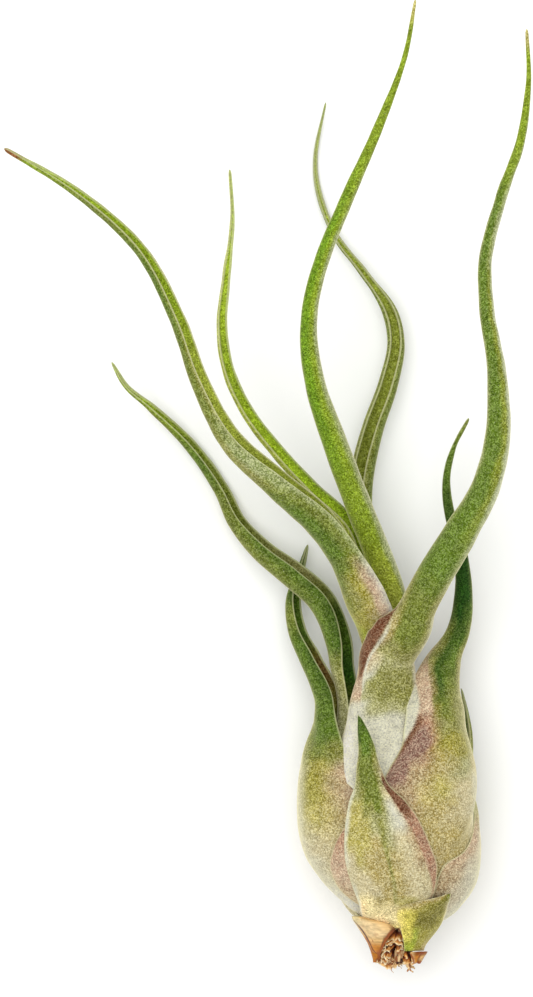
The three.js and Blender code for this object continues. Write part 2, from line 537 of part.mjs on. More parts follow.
function addPiece(name, geometry, color) {
  const mesh = new THREE.Mesh(geometry, new THREE.MeshStandardMaterial({ color, roughness: 0.7 }));
  mesh.name = name;
  plant.add(mesh);
}

addPiece("stem_and_roots", stemAndRoots(), 0x8a5a2c);
const leaves = pressedApart(LEAVES.map((leaf, i) => leafGeometry(i)));
LEAVES.forEach((leaf, i) => addPiece(leaf.name, leaves[i], leaf.colour));
export default plant;
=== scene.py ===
# %% [markdown]
# # A bulbous air plant
#
# The plant lies on its back on a pale table. It grows as a rosette: a short woody stem, and leaves
# that wrap it in turn. The low part of each leaf is a broad thin sheath, and the sheaths together swell
# into a false bulb. Higher up each leaf rolls into a channel and tapers to a wavy point. The whole plant
# wears a coat of tiny silvery scales, the trichomes, with which it drinks.
#
# The solids of the frame already have these forms in plain facets. This scene grows the same leaves
# again from the same measures, finely enough to look smooth, and gives them their skin.

# %% The frame and its box
import math

import bpy
import numpy as np
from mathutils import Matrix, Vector


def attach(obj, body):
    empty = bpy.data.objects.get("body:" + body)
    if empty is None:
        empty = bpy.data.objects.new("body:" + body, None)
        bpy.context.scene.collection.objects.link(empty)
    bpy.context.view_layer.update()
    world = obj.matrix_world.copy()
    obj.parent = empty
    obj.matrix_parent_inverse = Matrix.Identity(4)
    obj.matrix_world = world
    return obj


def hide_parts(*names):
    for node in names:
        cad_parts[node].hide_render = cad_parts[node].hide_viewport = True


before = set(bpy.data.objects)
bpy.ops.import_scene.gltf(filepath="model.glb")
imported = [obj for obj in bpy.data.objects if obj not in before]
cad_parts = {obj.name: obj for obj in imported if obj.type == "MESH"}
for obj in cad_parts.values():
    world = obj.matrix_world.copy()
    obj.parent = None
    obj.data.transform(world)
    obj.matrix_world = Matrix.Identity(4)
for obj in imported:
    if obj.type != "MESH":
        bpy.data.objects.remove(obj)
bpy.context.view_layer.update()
print("solids in the frame:", len(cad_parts))

# %% [markdown]
# The photograph looks straight down on the plant, with no visible perspective. A camera far above with
# a long lens gives that view. The plane that it frames is at half the bulb's height, and one pixel of the
# 533 by 997 picture covers 0.22 mm of it.

# %% The camera
MM = 0.001
PIXEL = 0.22 * MM  # of the framed plane
PICTURE_WIDTH, PICTURE_HEIGHT = 533, 997
ORIGIN_PIXEL = (388, 819)  # where the frame's origin is seen
FRAMED_HEIGHT = 20 * MM
CAMERA_DISTANCE = 3.2  # in metres, far enough that no perspective shows
SENSOR = 36  # in mm

camera_data = bpy.data.cameras.new("camera")
camera_data.sensor_width = SENSOR
camera_data.lens = SENSOR * CAMERA_DISTANCE / (PICTURE_HEIGHT * PIXEL)
camera = bpy.data.objects.new("camera", camera_data)
camera.location = (
    (PICTURE_WIDTH / 2 - ORIGIN_PIXEL[0]) * PIXEL,
    (ORIGIN_PIXEL[1] - PICTURE_HEIGHT / 2) * PIXEL,
    FRAMED_HEIGHT + CAMERA_DISTANCE,
)
bpy.context.scene.collection.objects.link(camera)
bpy.context.scene.camera = camera
print("lens in mm:", round(camera_data.lens))

# %% [markdown]
# Two small tools serve every finish. Colours are written as the hex values that a screen shows, and
# `linear` turns them into the light values that shaders work with. `add_node` adds one node with its
# settings, and wires or fills its sockets. Where a node has several sockets of one name, numbers name them:
# 0 of a map range is its value, 1 and 2 the range that it reads, 3 and 4 the range that it gives, and 6 and
# 7 of a mix are its two colours.

# %% Colours and nodes
def linear(hex_colour):
    """The linear RGBA of a colour written as six hex digits."""
    screen = np.array([int(hex_colour[k:k + 2], 16) for k in (0, 2, 4)]) / 255
    light = np.where(screen <= 0.04045, screen / 12.92, ((screen + 0.055) / 1.055) ** 2.4)
    return (*light.tolist(), 1.0)


def add_node(tree, kind, inputs=None, **settings):
    """Adds a shader node. inputs has a value, or the output that feeds it, for each socket it sets."""
    node = tree.nodes.new("ShaderNode" + kind)
    for name, value in settings.items():
        setattr(node, name, value)
    for socket, value in (inputs or {}).items():
        if isinstance(value, bpy.types.NodeSocket):
            tree.links.new(value, node.inputs[socket])
        else:
            node.inputs[socket].default_value = value
    return node


def new_material(name):
    """A material with an empty node tree, and that tree."""
    material = bpy.data.materials.new(name)
    material.use_nodes = True
    material.node_tree.nodes.clear()
    return material, material.node_tree


def finish_material(tree, shader):
    output = add_node(tree, "OutputMaterial")
    tree.links.new(shader.outputs[0], output.inputs["Surface"])


print("pure white in light values:", linear("FFFFFF"))

# %% [markdown]
# The plant was photographed on a white sweep in soft studio light, exposed so that the white burns out.
# The shadows are faint, and only where leaves touch or nearly touch the table. A bright even world gives
# about two thirds of the light, and one wide soft box high above, a little to the upper left, gives the
# rest. The table is a board sprayed with matt white paint, which shows no gloss and mirrors nothing.

# %% The table and the light
WORLD_STRENGTH = 0.88
SOFT_BOX_WATTS = 17
SOFT_BOX_SIZE = 1.5  # in metres, as its place is
SOFT_BOX_PLACE = Vector((-0.22, 0.25, 1.6))
BOARD_REACH = 4  # in metres, to fill every view
BOARD_DROP = 0.02 * MM  # below the plant, so that no two faces share a plane

scene = bpy.context.scene
scene.view_settings.view_transform = "Standard"
world = bpy.data.worlds.new("studio")
world.use_nodes = True
world.node_tree.nodes["Background"].inputs["Color"].default_value = linear("FFFFFF")
world.node_tree.nodes["Background"].inputs["Strength"].default_value = WORLD_STRENGTH
scene.world = world

light = bpy.data.lights.new("soft_box", "AREA")
light.size = SOFT_BOX_SIZE
light.energy = SOFT_BOX_WATTS
soft_box = bpy.data.objects.new("soft_box", light)
soft_box.location = SOFT_BOX_PLACE
soft_box.rotation_euler = (-SOFT_BOX_PLACE).to_track_quat("-Z", "Y").to_euler()
scene.collection.objects.link(soft_box)

table_paint, table_tree = new_material("white_matt_board")
table_shader = add_node(table_tree, "BsdfPrincipled", {
    "Base Color": linear("F5F5F3"), "Roughness": 0.8, "Specular IOR Level": 0.2})
finish_material(table_tree, table_shader)
table_mesh = bpy.data.meshes.new("table")
table_corners = [(x * BOARD_REACH, y * BOARD_REACH, 0) for x, y in ((-1, -1), (1, -1), (1, 1), (-1, 1))]
table_mesh.from_pydata(table_corners, [], [(0, 1, 2, 3)])
table_mesh.materials.append(table_paint)
table = bpy.data.objects.new("table", table_mesh)
table.location.z = -BOARD_DROP
scene.collection.objects.link(table)
print("light:", light.energy, "W from", [round(value, 2) for value in SOFT_BOX_PLACE])

# %% [markdown]
# ## The shape of the bulb
#
# Each profile is a list of rows: a height along the bulb from the stem's cut base, in millimetres, and a
# size there. `along` draws a smooth curve through such rows, one that never swings past a row. The same
# helper later shapes girths, rolls and colours, so it comes first.

# %% Profiles
REST_HEIGHT = 31  # along the bulb, of the place that lies on the table: the frame's origin
AXIS_Z = 17.3  # the height of the bulb's middle line above the table
BULB_DEPTH = 0.88  # the bulb's height as a share of its width
SHEATH_WALL, BLADE_WALL = 0.8, 0.9
MARGIN_SHARE = 0.3  # leaves thin out towards their margins, to this share of the middle
LAYER = 1.25  # how far each sheath presses in the ones below it
CLEARANCE = 0.35  # between the stem and a sheath
PRESS_PAD, PRESS_FALL = 1, 6  # how far above its top a sheath still presses, and how far it then fades
PRESS_PAD_DEG, PRESS_FALL_DEG = 6, 20  # the same beyond its margins, in degrees round the axis
SWELL_FULL_DEG, SWELL_NONE_DEG = 18, 75  # on either side of the keel, the ends of a leaf's swelling

# The rows of AXIS hold x of the bulb's middle line. The others hold radii: of the bulb's outline, of its
# body without the outer leaves' swelling, which begins above its lower part, and of the woody stem.
AXIS = [(0, 2.7), (11, 2.8), (15.4, 2.8), (20, 1.8), (23, 1.1), (26.4, 0.5), (31, 0.1), (36, 0)]
LOWER_PART = [(0, 6.0), (2.9, 6.9), (6, 8.7), (9.5, 11.2), (11, 12.7), (15.4, 16), (20, 18.4),
    (23, 19.4), (26.4, 19.9)]
OUTLINE = LOWER_PART + [(31, 20.1), (36, 20), (44, 19.1), (50.6, 17.3), (55, 16.6), (60, 15), (80, 12)]
BODY = LOWER_PART + [(30, 19.8), (35, 18.9), (39.6, 17.2), (43, 15.2), (47, 12.9), (52, 10.4), (57, 9),
    (61.6, 7.9), (67, 6.7), (72, 6.2), (80, 5.6)]
STEM = [(-2.9, 2.3), (-1.8, 3.4), (0, 4.1), (2, 4.1), (6.5, 4.4), (12, 4.2), (20, 3.4), (26, 2.2),
    (30, 1.2)]


def ease(start, end, x):
    """0 before start, 1 after end, and a smooth rise between them."""
    t = np.clip((x - start) / (end - start), 0, 1)
    return t * t * (3 - 2 * t)


def along(rows, x, column=1):
    """The value at x of the smooth curve through the rows, which is flat beyond its ends."""
    keys = np.array([row[0] for row in rows], float)
    values = np.array([row[column] for row in rows], float)
    rise = np.diff(values) / np.diff(keys)
    before, after = rise[:-1], rise[1:]
    same_way = before * after > 0
    middle = np.where(same_way, 2 * before * after / np.where(same_way, before + after, 1), 0)
    slope = np.concatenate([rise[:1], middle, rise[-1:]])
    x = np.clip(x, keys[0], keys[-1])
    i = np.clip(np.searchsorted(keys, x, side="right") - 1, 0, len(keys) - 2)
    width = keys[i + 1] - keys[i]
    t = (x - keys[i]) / width
    return ((1 + 2 * t) * (1 - t) ** 2 * values[i] + t * (1 - t) ** 2 * width * slope[i]
        + t * t * (3 - 2 * t) * values[i + 1] + t * t * (t - 1) * width * slope[i + 1])


print("bulb's radius at its widest, in mm:", round(float(along(OUTLINE, REST_HEIGHT)), 1))

# %% [markdown]
# ## The leaves and their colours
#
# The leaves are listed from the outermost sheath to the innermost. `azimuth` is the way a leaf faces
# round the axis: 0 to the right, 90 up, 180 to the left. `swell` is its share in the bulb's swelling, and
# `joined_from` the lowest height at which it may leave the stem. `margins` gives how far its sheath reaches
# to either side in degrees, `turn` the heights between which it rolls into its blade, and `route` the
# blade's middle line. By shares of that route, `girth` gives the blade's radius, `roll` half the angle that
# it wraps, `opens` the way the channel opens, and `flare` how far its left margin stands out.
#
# The colours are told as a painter would note them. `paint` has rows of a place along the leaf, 0 at the
# stem, 1 at the neck and 2 at the tip, and pigments across it, from the left margin over the keel to the
# right margin, or one pigment for the whole breadth. `marks` are soft oval patches: a place, how far across,
# two sizes and a pigment. `bands` have a firmer edge: a pigment, and rows of a place and of how far across
# the leaf it reaches from and to. `inside` has the inner face's pigment at each place. A pigment is the
# colour that a leaf shows from afar, skin and scales together, and its frost: how closely scales cover it.

# %% Pigments
PIGMENTS = {
    "pearl": ("EAE6D6", 0.85),  # the closest coat of scales, on the swollen sheaths
    "silver": ("DAD7C0", 0.75),
    "buff": ("CEC29A", 0.55),
    "sage": ("AEAC7C", 0.42),
    "haze": ("C6CCAA", 0.62),
    "mist": ("A3AB78", 0.42),
    "khaki": ("B9AA76", 0.45),
    "straw": ("BDB370", 0.40),
    "gold": ("A39C52", 0.25),
    "moss": ("97965E", 0.25),
    "olive": ("7C853E", 0.15),
    "blade": ("708428", 0.14),
    "green": ("687C1A", 0.12),
    "dusk": ("52660A", 0.07),
    "deep": ("3B5600", 0.03),  # bare dark blades
    "fresh": ("76961D", 0.06),
    "lime": ("8B9E36", 0.08),
    "bright": ("A0B83C", 0.04),
    "fern": ("8E9646", 0.15),
    "grass": ("A5AE4E", 0.10),
    "leafy": ("8B853C", 0.18),
    "yellow": ("D8CB66", 0.12),
    "primrose": ("F0DC84", 0.12),
    "cream": ("EAD9A2", 0.30),
    "tan": ("B8A27E", 0.45),
    "pink": ("CBB296", 0.50),  # young sheaths blush where they meet
    "rose": ("B38F76", 0.36),
    "plum": ("9C8070", 0.32),
    # painted shade: the dark of strips and folds in shadow beside a leaf's edge, over a little of a margin's
    # own purple-brown
    "shadow_umber": ("7E5D48", 0.16),
    "rust": ("8A6038", 0.10),
    "brown": ("6A5526", 0.08),
    "husk": ("904C18", 0.0),  # dead skin holds no scales
    "bark": ("5A2A08", 0.0),
    "amber": ("D08A3E", 0.0),
    "skin": ("EBC07F", 0.0),
    "peach": ("F3D5A0", 0.0),
}
LEAVES = []
print("pigments:", len(PIGMENTS))

# %% The dead skins and the bract
LEAVES += [
    dict(
        name="dry_skin", azimuth=165, swell=1, joined_from=-0.9,
        margins=[[-0.9, 56, 4], [0.4, 60, 10], [1.5, 62, 22], [3, 62, 36], [5.5, 56, 56], [7, 46, 66],
            [8.3, 34, 52], [9.6, 12, 14]],
        paint=[
            (-0.2, "husk husk amber amber husk"),
            (0.1, "husk husk amber amber husk"),
            (0.3, "husk husk amber amber amber"),
            (0.45, "husk amber amber skin skin"),
            (0.6, "amber amber skin peach peach"),
            (0.75, "amber skin peach peach skin"),
            (0.9, "skin peach cream peach skin"),
            (1, "skin cream cream cream skin"),
        ],
        bands=[
            ("bark", [[0.05, -0.5, -0.38], [0.12, -0.45, -0.32], [0.2, -0.36, -0.24], [0.3, -0.27, -0.15],
                [0.4, -0.22, -0.1], [0.55, -0.18, -0.06], [0.7, -0.12, 0], [0.8, -0.04, 0.08],
                [0.95, 0.14, 0.26]]),
            ("bark", [[-0.1, -1.1, -0.82], [0.3, -1.1, -0.86], [0.6, -1.1, -0.9], [0.8, -1.1, -0.95]]),
        ],
        inside=[(0, "husk"), (0.6, "amber"), (1, "skin")],
    ),
    dict(
        name="dry_skin_flap", azimuth=40, swell=1, joined_from=-1,
        margins=[[-1, 14, 6], [-0.2, 20, 18], [0.5, 24, 30], [1.2, 26, 38], [1.8, 24, 40]],
        paint=[
            (0, "peach amber husk skin peach"),
            (1, "skin husk husk husk peach"),
        ],
        inside=[(0, "husk"), (1, "amber")],
    ),
    dict(
        name="bract_lower_right", azimuth=44, swell=1, joined_from=1.3,
        margins=[[1, 34, 60], [4, 39, 54], [7.7, 48, 34], [10, 51, 20], [11.2, 49, 13], [12.3, 42, 8],
            [13.2, 29, 6], [13.9, 12, 4], [14.7, 2, 2]],
        paint=[
            (0, "grass grass straw straw straw khaki khaki buff buff"),
            (0.2, "grass grass grass gold gold khaki khaki buff buff"),
            (0.38, "yellow yellow grass gold gold gold gold khaki silver"),
            (0.55, "primrose yellow leafy leafy leafy gold gold khaki silver"),
            (0.7, "primrose yellow leafy leafy leafy leafy gold buff silver"),
            (0.82, "khaki khaki gold leafy leafy leafy khaki buff silver"),
            (0.92, "buff khaki khaki leafy leafy olive khaki sage silver"),
            (1, "buff khaki leafy olive leafy olive olive sage sage"),
        ],
        inside=[(0, "khaki"), (1, "leafy")],
    ),
]
print("leaves so far:", len(LEAVES))

# %% The short outer leaves
LEAVES += [
    dict(
        name="leaf_front_short", azimuth=100, swell=1, joined_from=6.9,
        margins=[[6, 80, 80], [9, 62, 66], [13.2, 36, 44], [15.8, 33, 41], [20, 28, 41], [25.3, 23, 37],
            [30.8, 19.5, 30.5], [35.4, 16.5, 20.7], [40, 11.7, 10], [44, 9, 7]],
        turn=[35, 44],
        route=[[-3.6, 34, 31.4], [-4.2, 40.7, 31.6], [-4.6, 46.2, 31.9], [-5.7, 51, 32.2],
            [-6.3, 53.2, 32.6], [-6.7, 54.1, 33]],
        girth=[[0, 3.9], [0.33, 3.1], [0.6, 2.0], [0.84, 1.1], [0.95, 0.55], [1, 0.32]],
        roll=[[0, 70], [1, 80]],
        opens=[[0, 0.1, 0, -1], [1, 0.2, 0, -1]],
        paint=[
            (0.14, "skin peach peach peach primrose primrose primrose primrose yellow"),
            (0.2, "pearl peach peach peach cream primrose primrose primrose yellow"),
            (0.25, "pearl peach cream cream cream cream primrose grass tan"),
            (0.3, "silver cream cream khaki khaki straw straw buff pink"),
            (0.34, "silver buff buff buff khaki khaki buff buff tan"),
            (0.42, "buff buff buff khaki khaki khaki buff buff rose"),
            (0.52, "silver buff straw khaki khaki khaki buff tan rose"),
            (0.6, "silver straw straw straw khaki sage buff tan rose"),
            (0.68, "silver straw straw straw sage sage silver tan rose"),
            (0.76, "silver straw straw moss moss moss silver tan rose"),
            (0.83, "silver sage moss olive olive olive buff tan rust"),
            (0.9, "sage moss olive olive olive olive moss buff rust"),
            (1, "sage moss olive olive olive olive moss moss silver"),
            (1.25, "moss olive olive green green green olive olive olive"),
            (1.5, "green dusk dusk green green green green dusk dusk"),
            (2, "dusk"),
        ],
        bands=[
            ("rose", [[0.3, -1.1, -0.98], [0.37, -1.1, -0.9], [0.42, -1.1, -0.83], [0.47, -1.1, -0.78],
                [0.56, -1.1, -0.76], [0.64, -1.1, -0.74], [0.72, -1.1, -0.68], [0.8, -1.1, -0.63],
                [0.84, -1.1, -0.64]]),
            # painted shade along the right margin zone, which lies in shadow, over the margin's own
            # purple-brown
            ("shadow_umber", [[0.7, -0.86, -0.74], [0.76, -0.94, -0.66], [0.8, -1.1, -0.63], [0.84, -1.1, -0.63],
                [0.88, -1.1, -0.65], [0.95, -1.1, -0.8]]),
            ("moss", [[0.26, -0.13, -0.09], [0.4, -0.16, -0.11], [0.5, -0.19, -0.13], [0.64, -0.21, -0.1],
                [0.74, -0.22, -0.04]]),
            ("olive", [[0.72, -0.2, -0.08], [0.8, -0.22, 0], [0.95, -0.2, 0.12]]),
        ],
        inside=[(0, "rose"), (0.8, "rust"), (1, "green"), (2, "green")],
    ),
    dict(
        name="leaf_back_short", azimuth=262, swell=1, joined_from=6.9,
        margins=[[6, 85, 85], [14, 66, 66], [22, 54, 52], [30, 46, 44], [38, 30, 30], [46, 14, 14]],
        turn=[38, 48],
        route=[[-2.2, 36, 4.2], [-2.4, 42, 3.5], [-2, 48, 3.0], [-1, 54, 3.0], [0.5, 60, 3.4],
            [1.5, 65, 4.4]],
        girth=[[0, 3.2], [0.4, 2.2], [0.8, 1.2], [1, 0.32]],
        roll=[[0, 85], [1, 80]],
        opens=[[0, 0.1, 0, 1], [1, -0.2, 0, 1]],
        paint=[
            (0.2, "buff silver silver silver buff"),
            (0.6, "pink silver sage silver pink"),
            (0.9, "silver moss olive moss silver"),
            (1.1, "olive green green green olive"),
            (2, "dusk"),
        ],
        inside=[(0, "rose"), (0.8, "grass"), (2, "lime")],
    ),
    dict(
        name="leaf_right_outer", azimuth=325, swell=1, joined_from=7,
        margins=[[6, 80, 85], [10, 84, 76], [16.5, 90, 66], [20.7, 86, 60], [24.6, 64, 54],
            [29.5, 45, 44], [36, 26, 28], [42, 14, 14]],
        turn=[34, 44],
        route=[[14.6, 32, 9.5], [16.1, 38, 9.5], [17, 44, 9.4], [17.3, 50, 9.4], [16.8, 55.5, 9.2],
            [16.2, 59.6, 8.8]],
        girth=[[0, 3.0], [0.4, 2.0], [0.75, 1.1], [1, 0.32]],
        roll=[[0, 85], [1, 80]],
        opens=[[0, -0.8, 0, 0.5], [1, -0.8, 0, 0.4]],
        paint=[
            (0.2, "tan silver silver silver buff"),
            (0.4, "tan silver silver silver pink"),
            (0.6, "pink silver silver silver pink"),
            (0.8, "sage sage moss moss silver"),
            (1, "moss olive olive olive sage"),
            (2, "dusk"),
        ],
        inside=[(0, "rose"), (0.8, "dusk"), (2, "dusk")],
    ),
]
print("leaves so far:", len(LEAVES))

# %% The right leaf
LEAVES += [
    dict(
        name="leaf_right_curved", azimuth=8, swell=1, joined_from=7.4,
        margins=[[7, 110, 90], [11, 140, 92], [15.4, 146, 92], [19.8, 140, 90], [24.2, 129, 86],
            [29, 117, 80], [34, 99, 70], [42.2, 81, 58], [48, 66, 46], [53, 62, 36], [58, 66, 30],
            [64, 70, 26], [70, 60, 24]],
        turn=[50, 71],
        route=[[15.6, 40, 16.5], [15.8, 46, 16.4], [14.2, 52.8, 16.2], [12.7, 59, 16],
            [12.8, 65.5, 15.4], [15.6, 72.6, 14.4], [16.7, 80.5, 13.4], [15.8, 90.6, 13],
            [13.6, 98.5, 13.6], [12.9, 105.6, 14.8], [14.4, 112.5, 16], [17.8, 119.2, 17]],
        girth=[[0, 4.6], [0.22, 4.4], [0.3, 3.9], [0.37, 2.8], [0.42, 2.5], [0.6, 1.6], [0.8, 1.0],
            [0.93, 0.55], [1, 0.32]],
        roll=[[0, 110], [0.25, 145], [1, 120]],
        opens=[[0, -1, 0, 0], [0.4, -0.9, 0, -0.45], [1, -0.8, 0.3, -0.5]],
        paint=[
            (0.15, "tan tan tan tan buff buff silver silver silver"),
            (0.28, "pink pink tan khaki buff silver silver silver silver"),
            (0.38, "rose pink khaki khaki buff silver silver silver silver"),
            (0.46, "rose tan khaki buff silver silver silver silver silver"),
            (0.54, "plum tan straw buff silver silver silver silver silver"),
            (0.6, "plum tan khaki sage buff silver silver silver silver"),
            (0.67, "plum rose gold gold sage silver silver silver silver"),
            (0.73, "plum rose moss moss sage silver silver silver silver"),
            (0.78, "pink rose olive moss sage silver silver silver silver"),
            (0.86, "pink tan dusk olive moss sage silver silver silver"),
            (0.94, "pink moss dusk green moss sage silver silver silver"),
            (1, "sage olive dusk dusk olive sage sage silver silver"),
            (1.1, "dusk dusk deep dusk green olive moss moss sage"),
            (1.18, "deep deep deep deep dusk green olive olive olive"),
            (1.4, "deep deep deep deep deep dusk green green green"),
            (1.6, "dusk dusk dusk dusk green green green green green"),
            (1.8, "green"),
            (2, "olive"),
        ],
        bands=[
            ("pink", [[0.74, 0.68, 1.1], [0.78, 0.64, 1.1], [0.83, 0.62, 1.1], [0.89, 0.7, 1.1],
                [0.94, 0.9, 1.1]]),
            ("silver", [[0.66, 1.02, 1.1], [0.7, 0.93, 1.1], [0.73, 0.87, 1.1], [0.76, 0.84, 1.1],
                [0.8, 0.8, 1.1], [0.84, 0.84, 1.1], [0.88, 0.95, 1.1]]),
            # painted shadow: the dark strip that the tall front leaf's edge casts along this sheath
            ("shadow_umber", [[0.58, 0.99, 1.1], [0.62, 0.98, 1.1], [0.66, 0.95, 1.02], [0.7, 0.86, 0.93],
                [0.73, 0.8, 0.87], [0.76, 0.77, 0.84], [0.78, 0.76, 0.8]]),
        ],
        marks=[(0.67, 0.82, 0.06, 0.16, "plum"), (0.6, 0.9, 0.07, 0.16, "plum")],
        inside=[(0, "rose"), (0.8, "pink"), (1, "dusk"), (2, "green")],
    ),
]
print("leaves so far:", len(LEAVES))

# %% The tall front leaf
LEAVES += [
    dict(
        name="leaf_front_tall", azimuth=88, swell=0, joined_from=8,
        margins=[[8, 60, 85], [14, 50, 80], [22, 42, 76], [30, 30, 74], [36.7, 29, 76], [39.6, 40, 78],
            [43, 52, 80], [50, 72, 82], [56, 86, 82], [61.6, 88, 84], [67, 84, 84], [76, 80, 80]],
        turn=[57, 73],
        route=[[0, 54, 20], [0, 61, 20], [0.4, 66, 20.8], [2, 68.8, 21.8], [3.3, 70.8, 22.8],
            [4.8, 73.8, 24.6], [5.9, 76.4, 26.2], [7.6, 80, 27.8], [10.6, 85.4, 30.2], [16, 94.4, 34],
            [21.2, 104, 37.6], [23.8, 115, 40], [23.6, 129, 41], [21.4, 143, 40.4], [21.2, 154, 39.6],
            [24.8, 168, 38.6], [28.8, 179.6, 38.2], [30.6, 193, 37.8], [30.2, 204.2, 37.6]],
        girth=[[0, 8.2], [0.043, 7.3], [0.075, 6.4], [0.093, 5.6], [0.11, 5.2], [0.13, 5], [0.146, 4.7],
            [0.172, 4.05], [0.21, 3.95], [0.27, 3.85], [0.34, 3.3], [0.45, 2.7], [0.58, 1.75],
            [0.7, 1.4], [0.82, 1.1], [0.93, 0.6], [1, 0.32]],
        roll=[[0, 80], [0.1, 88], [0.16, 110], [0.26, 150], [1, 140]],
        flare=[[0.05, 0], [0.09, 2.4], [0.11, 3.2], [0.13, 2.8], [0.155, 0]],
        opens=[[0, 0, 0, -1], [0.12, -0.45, 0.1, -0.9], [0.3, -0.5, 0.1, -0.85], [1, -0.6, 0, -0.8]],
        paint=[
            (0.3, "silver"),
            (0.52, "pearl silver silver silver silver silver silver silver pink"),
            (0.64, "pearl pearl silver silver silver silver silver silver pink"),
            (0.71, "pearl pearl silver silver silver silver silver buff pink"),
            (0.76, "silver silver silver sage sage sage sage buff pink"),
            (0.8, "silver sage sage moss moss moss moss buff pink"),
            (0.86, "tan pink silver moss moss moss moss silver pink"),
            (0.91, "rose rose buff sage sage sage sage silver pink"),
            (0.95, "rose tan moss moss moss moss sage silver silver"),
            (1, "tan khaki olive olive olive moss silver silver silver"),
            (1.06, "sage moss olive olive olive moss sage silver silver"),
            # From here up, the pale haze and mist at both edges of the blade, where it turns from view, are
            # its scale coat's own paleness with painted sheen over it
            (1.12, "moss blade blade blade blade mist haze haze haze"),
            (1.3, "haze mist blade blade fern haze haze haze haze"),
            (1.45, "haze mist blade blade fern haze haze haze haze"),
            (1.55, "haze mist blade blade fern haze haze haze haze"),
            (1.7, "haze mist blade blade mist haze haze haze haze"),
            (1.82, "mist lime lime lime lime mist mist mist mist"),
            (1.95, "grass grass lime lime lime grass grass grass grass"),
            (2, "straw"),
        ],
        marks=[(0.83, 0.04, 0.055, 0.44, "moss")],
        bands=[
            ("pink", [[0.76, 0.5, 1.1], [0.81, 0.52, 1.1], [0.84, 0.57, 1.1], [0.87, 0.63, 1.1],
                [0.92, 0.66, 1.1]]),
            # where the sheath's inner face shows past its rolled-in left margin: its own plum-brown,
            # darkened with painted shade
            ("shadow_umber", [[0.83, 0.62, 0.7], [0.87, 0.66, 0.86], [0.9, 0.68, 1.1], [0.92, 0.68, 1.1],
                [0.94, 0.71, 1.1], [0.96, 0.73, 1.1], [0.98, 0.77, 1.1], [1.0, 0.78, 1.1],
                [1.01, 0.79, 1.1], [1.02, 0.85, 1.1], [1.03, 0.93, 1.1], [1.06, 1, 1.1]]),
            ("silver", [[0.8, 0.46, 0.5], [0.84, 0.52, 0.57], [0.87, 0.58, 0.64], [0.9, 0.62, 0.67],
                [0.92, 0.62, 0.67], [0.94, 0.65, 0.7], [0.96, 0.68, 0.73], [0.98, 0.71, 0.76],
                [1, 0.72, 0.77], [1.01, 0.74, 0.79], [1.02, 0.78, 0.84], [1.03, 0.86, 0.92]]),
        ],
        inside=[(0, "rose"), (0.8, "plum"), (1.15, "brown"), (1.25, "grass"), (2, "lime")],
    ),
]
print("leaves so far:", len(LEAVES))

# %% The two lower left leaves
LEAVES += [
    dict(
        name="leaf_left_short", azimuth=180, swell=1, joined_from=9,
        margins=[[9, 80, 80], [20, 80, 80], [28, 74, 74], [36.7, 62, 64], [43.6, 50, 53], [49, 42, 44],
            [56, 26, 30]],
        turn=[42, 60],
        route=[[-15.6, 40, 16], [-15.2, 44, 15.8], [-13.6, 50, 15], [-13.3, 57.5, 13.4],
            [-16.9, 66, 10.6], [-19.9, 72.5, 8], [-20.7, 79.2, 5.4], [-19.4, 84.6, 3.2],
            [-17.6, 91.3, 2.6]],
        girth=[[0, 4.2], [0.2, 3.5], [0.4, 2.8], [0.6, 2.2], [0.78, 1.7], [0.9, 0.9], [1, 0.32]],
        roll=[[0, 105], [0.3, 135], [1, 115]],
        opens=[[0, 1, 0, 0.1], [0.4, 0.85, 0.2, 0.45], [0.75, 0.8, 0.2, 0.6], [1, 0.7, 0.1, 0.7]],
        paint=[
            (0.2, "pearl pearl pearl silver pink"),
            (0.3, "silver silver silver buff pink"),
            (0.42, "pearl pearl silver buff pink"),
            (0.52, "silver silver silver straw pink"),
            (0.62, "silver silver silver gold pink"),
            (0.7, "silver silver silver gold pink"),
            (0.76, "sage sage sage olive moss"),
            (0.83, "moss olive olive green green"),
            (1, "olive olive green green dusk"),
            (1.3, "olive green green green dusk"),
            (1.5, "green green green olive olive"),
            (1.65, "dusk dusk dusk green dusk"),
            (2, "dusk"),
        ],
        inside=[(0, "rose"), (0.8, "olive"), (1.1, "brown"), (1.4, "dusk"), (2, "dusk")],
    ),
    dict(
        name="leaf_left_low", azimuth=212, swell=0.4, joined_from=10,
        margins=[[10, 80, 80], [24, 74, 74], [34, 66, 66], [44, 56, 56], [52, 44, 44], [60, 30, 30]],
        turn=[48, 66],
        route=[[-8.6, 46, 12.4], [-8.8, 52, 12], [-9.2, 58, 12], [-9.6, 64, 12.2], [-10.6, 69.8, 12.2],
            [-14.6, 79, 12], [-20.5, 84.4, 11], [-27.7, 90, 8], [-33.3, 96.4, 3.9], [-36.9, 103.8, 1.8],
            [-43.6, 113.3, 2.4], [-52.2, 121.6, 6], [-57.6, 126.2, 8.6], [-60.9, 131.6, 11]],
        girth=[[0, 3.2], [0.2, 3.1], [0.38, 3.0], [0.5, 2.4], [0.62, 1.8], [0.78, 1.35], [0.9, 0.8],
            [1, 0.32]],
        roll=[[0, 90], [0.15, 105], [0.3, 145], [1, 125]],
        opens=[[0, 0.9, 0, 0.4], [0.35, 0.75, 0.4, 0.5], [0.6, 0.7, 0.5, 0.65], [1, 0.4, 0.5, 0.8]],
        paint=[
            (0.2, "silver"),
            (0.8, "sage"),
            (0.95, "dusk olive moss sage moss"),
            (1.05, "dusk dusk olive green dusk"),
            (1.35, "green olive olive olive green"),
            (1.5, "olive moss moss olive olive"),
            (1.65, "green"),
            (1.8, "olive olive olive olive lime"),
            (2, "lime"),
        ],
        inside=[(0, "rose"), (0.8, "olive"), (0.95, "deep"), (1.1, "dusk"), (1.25, "moss"), (1.5, "olive"),
            (2, "lime")],
    ),
]
print("leaves so far:", len(LEAVES))

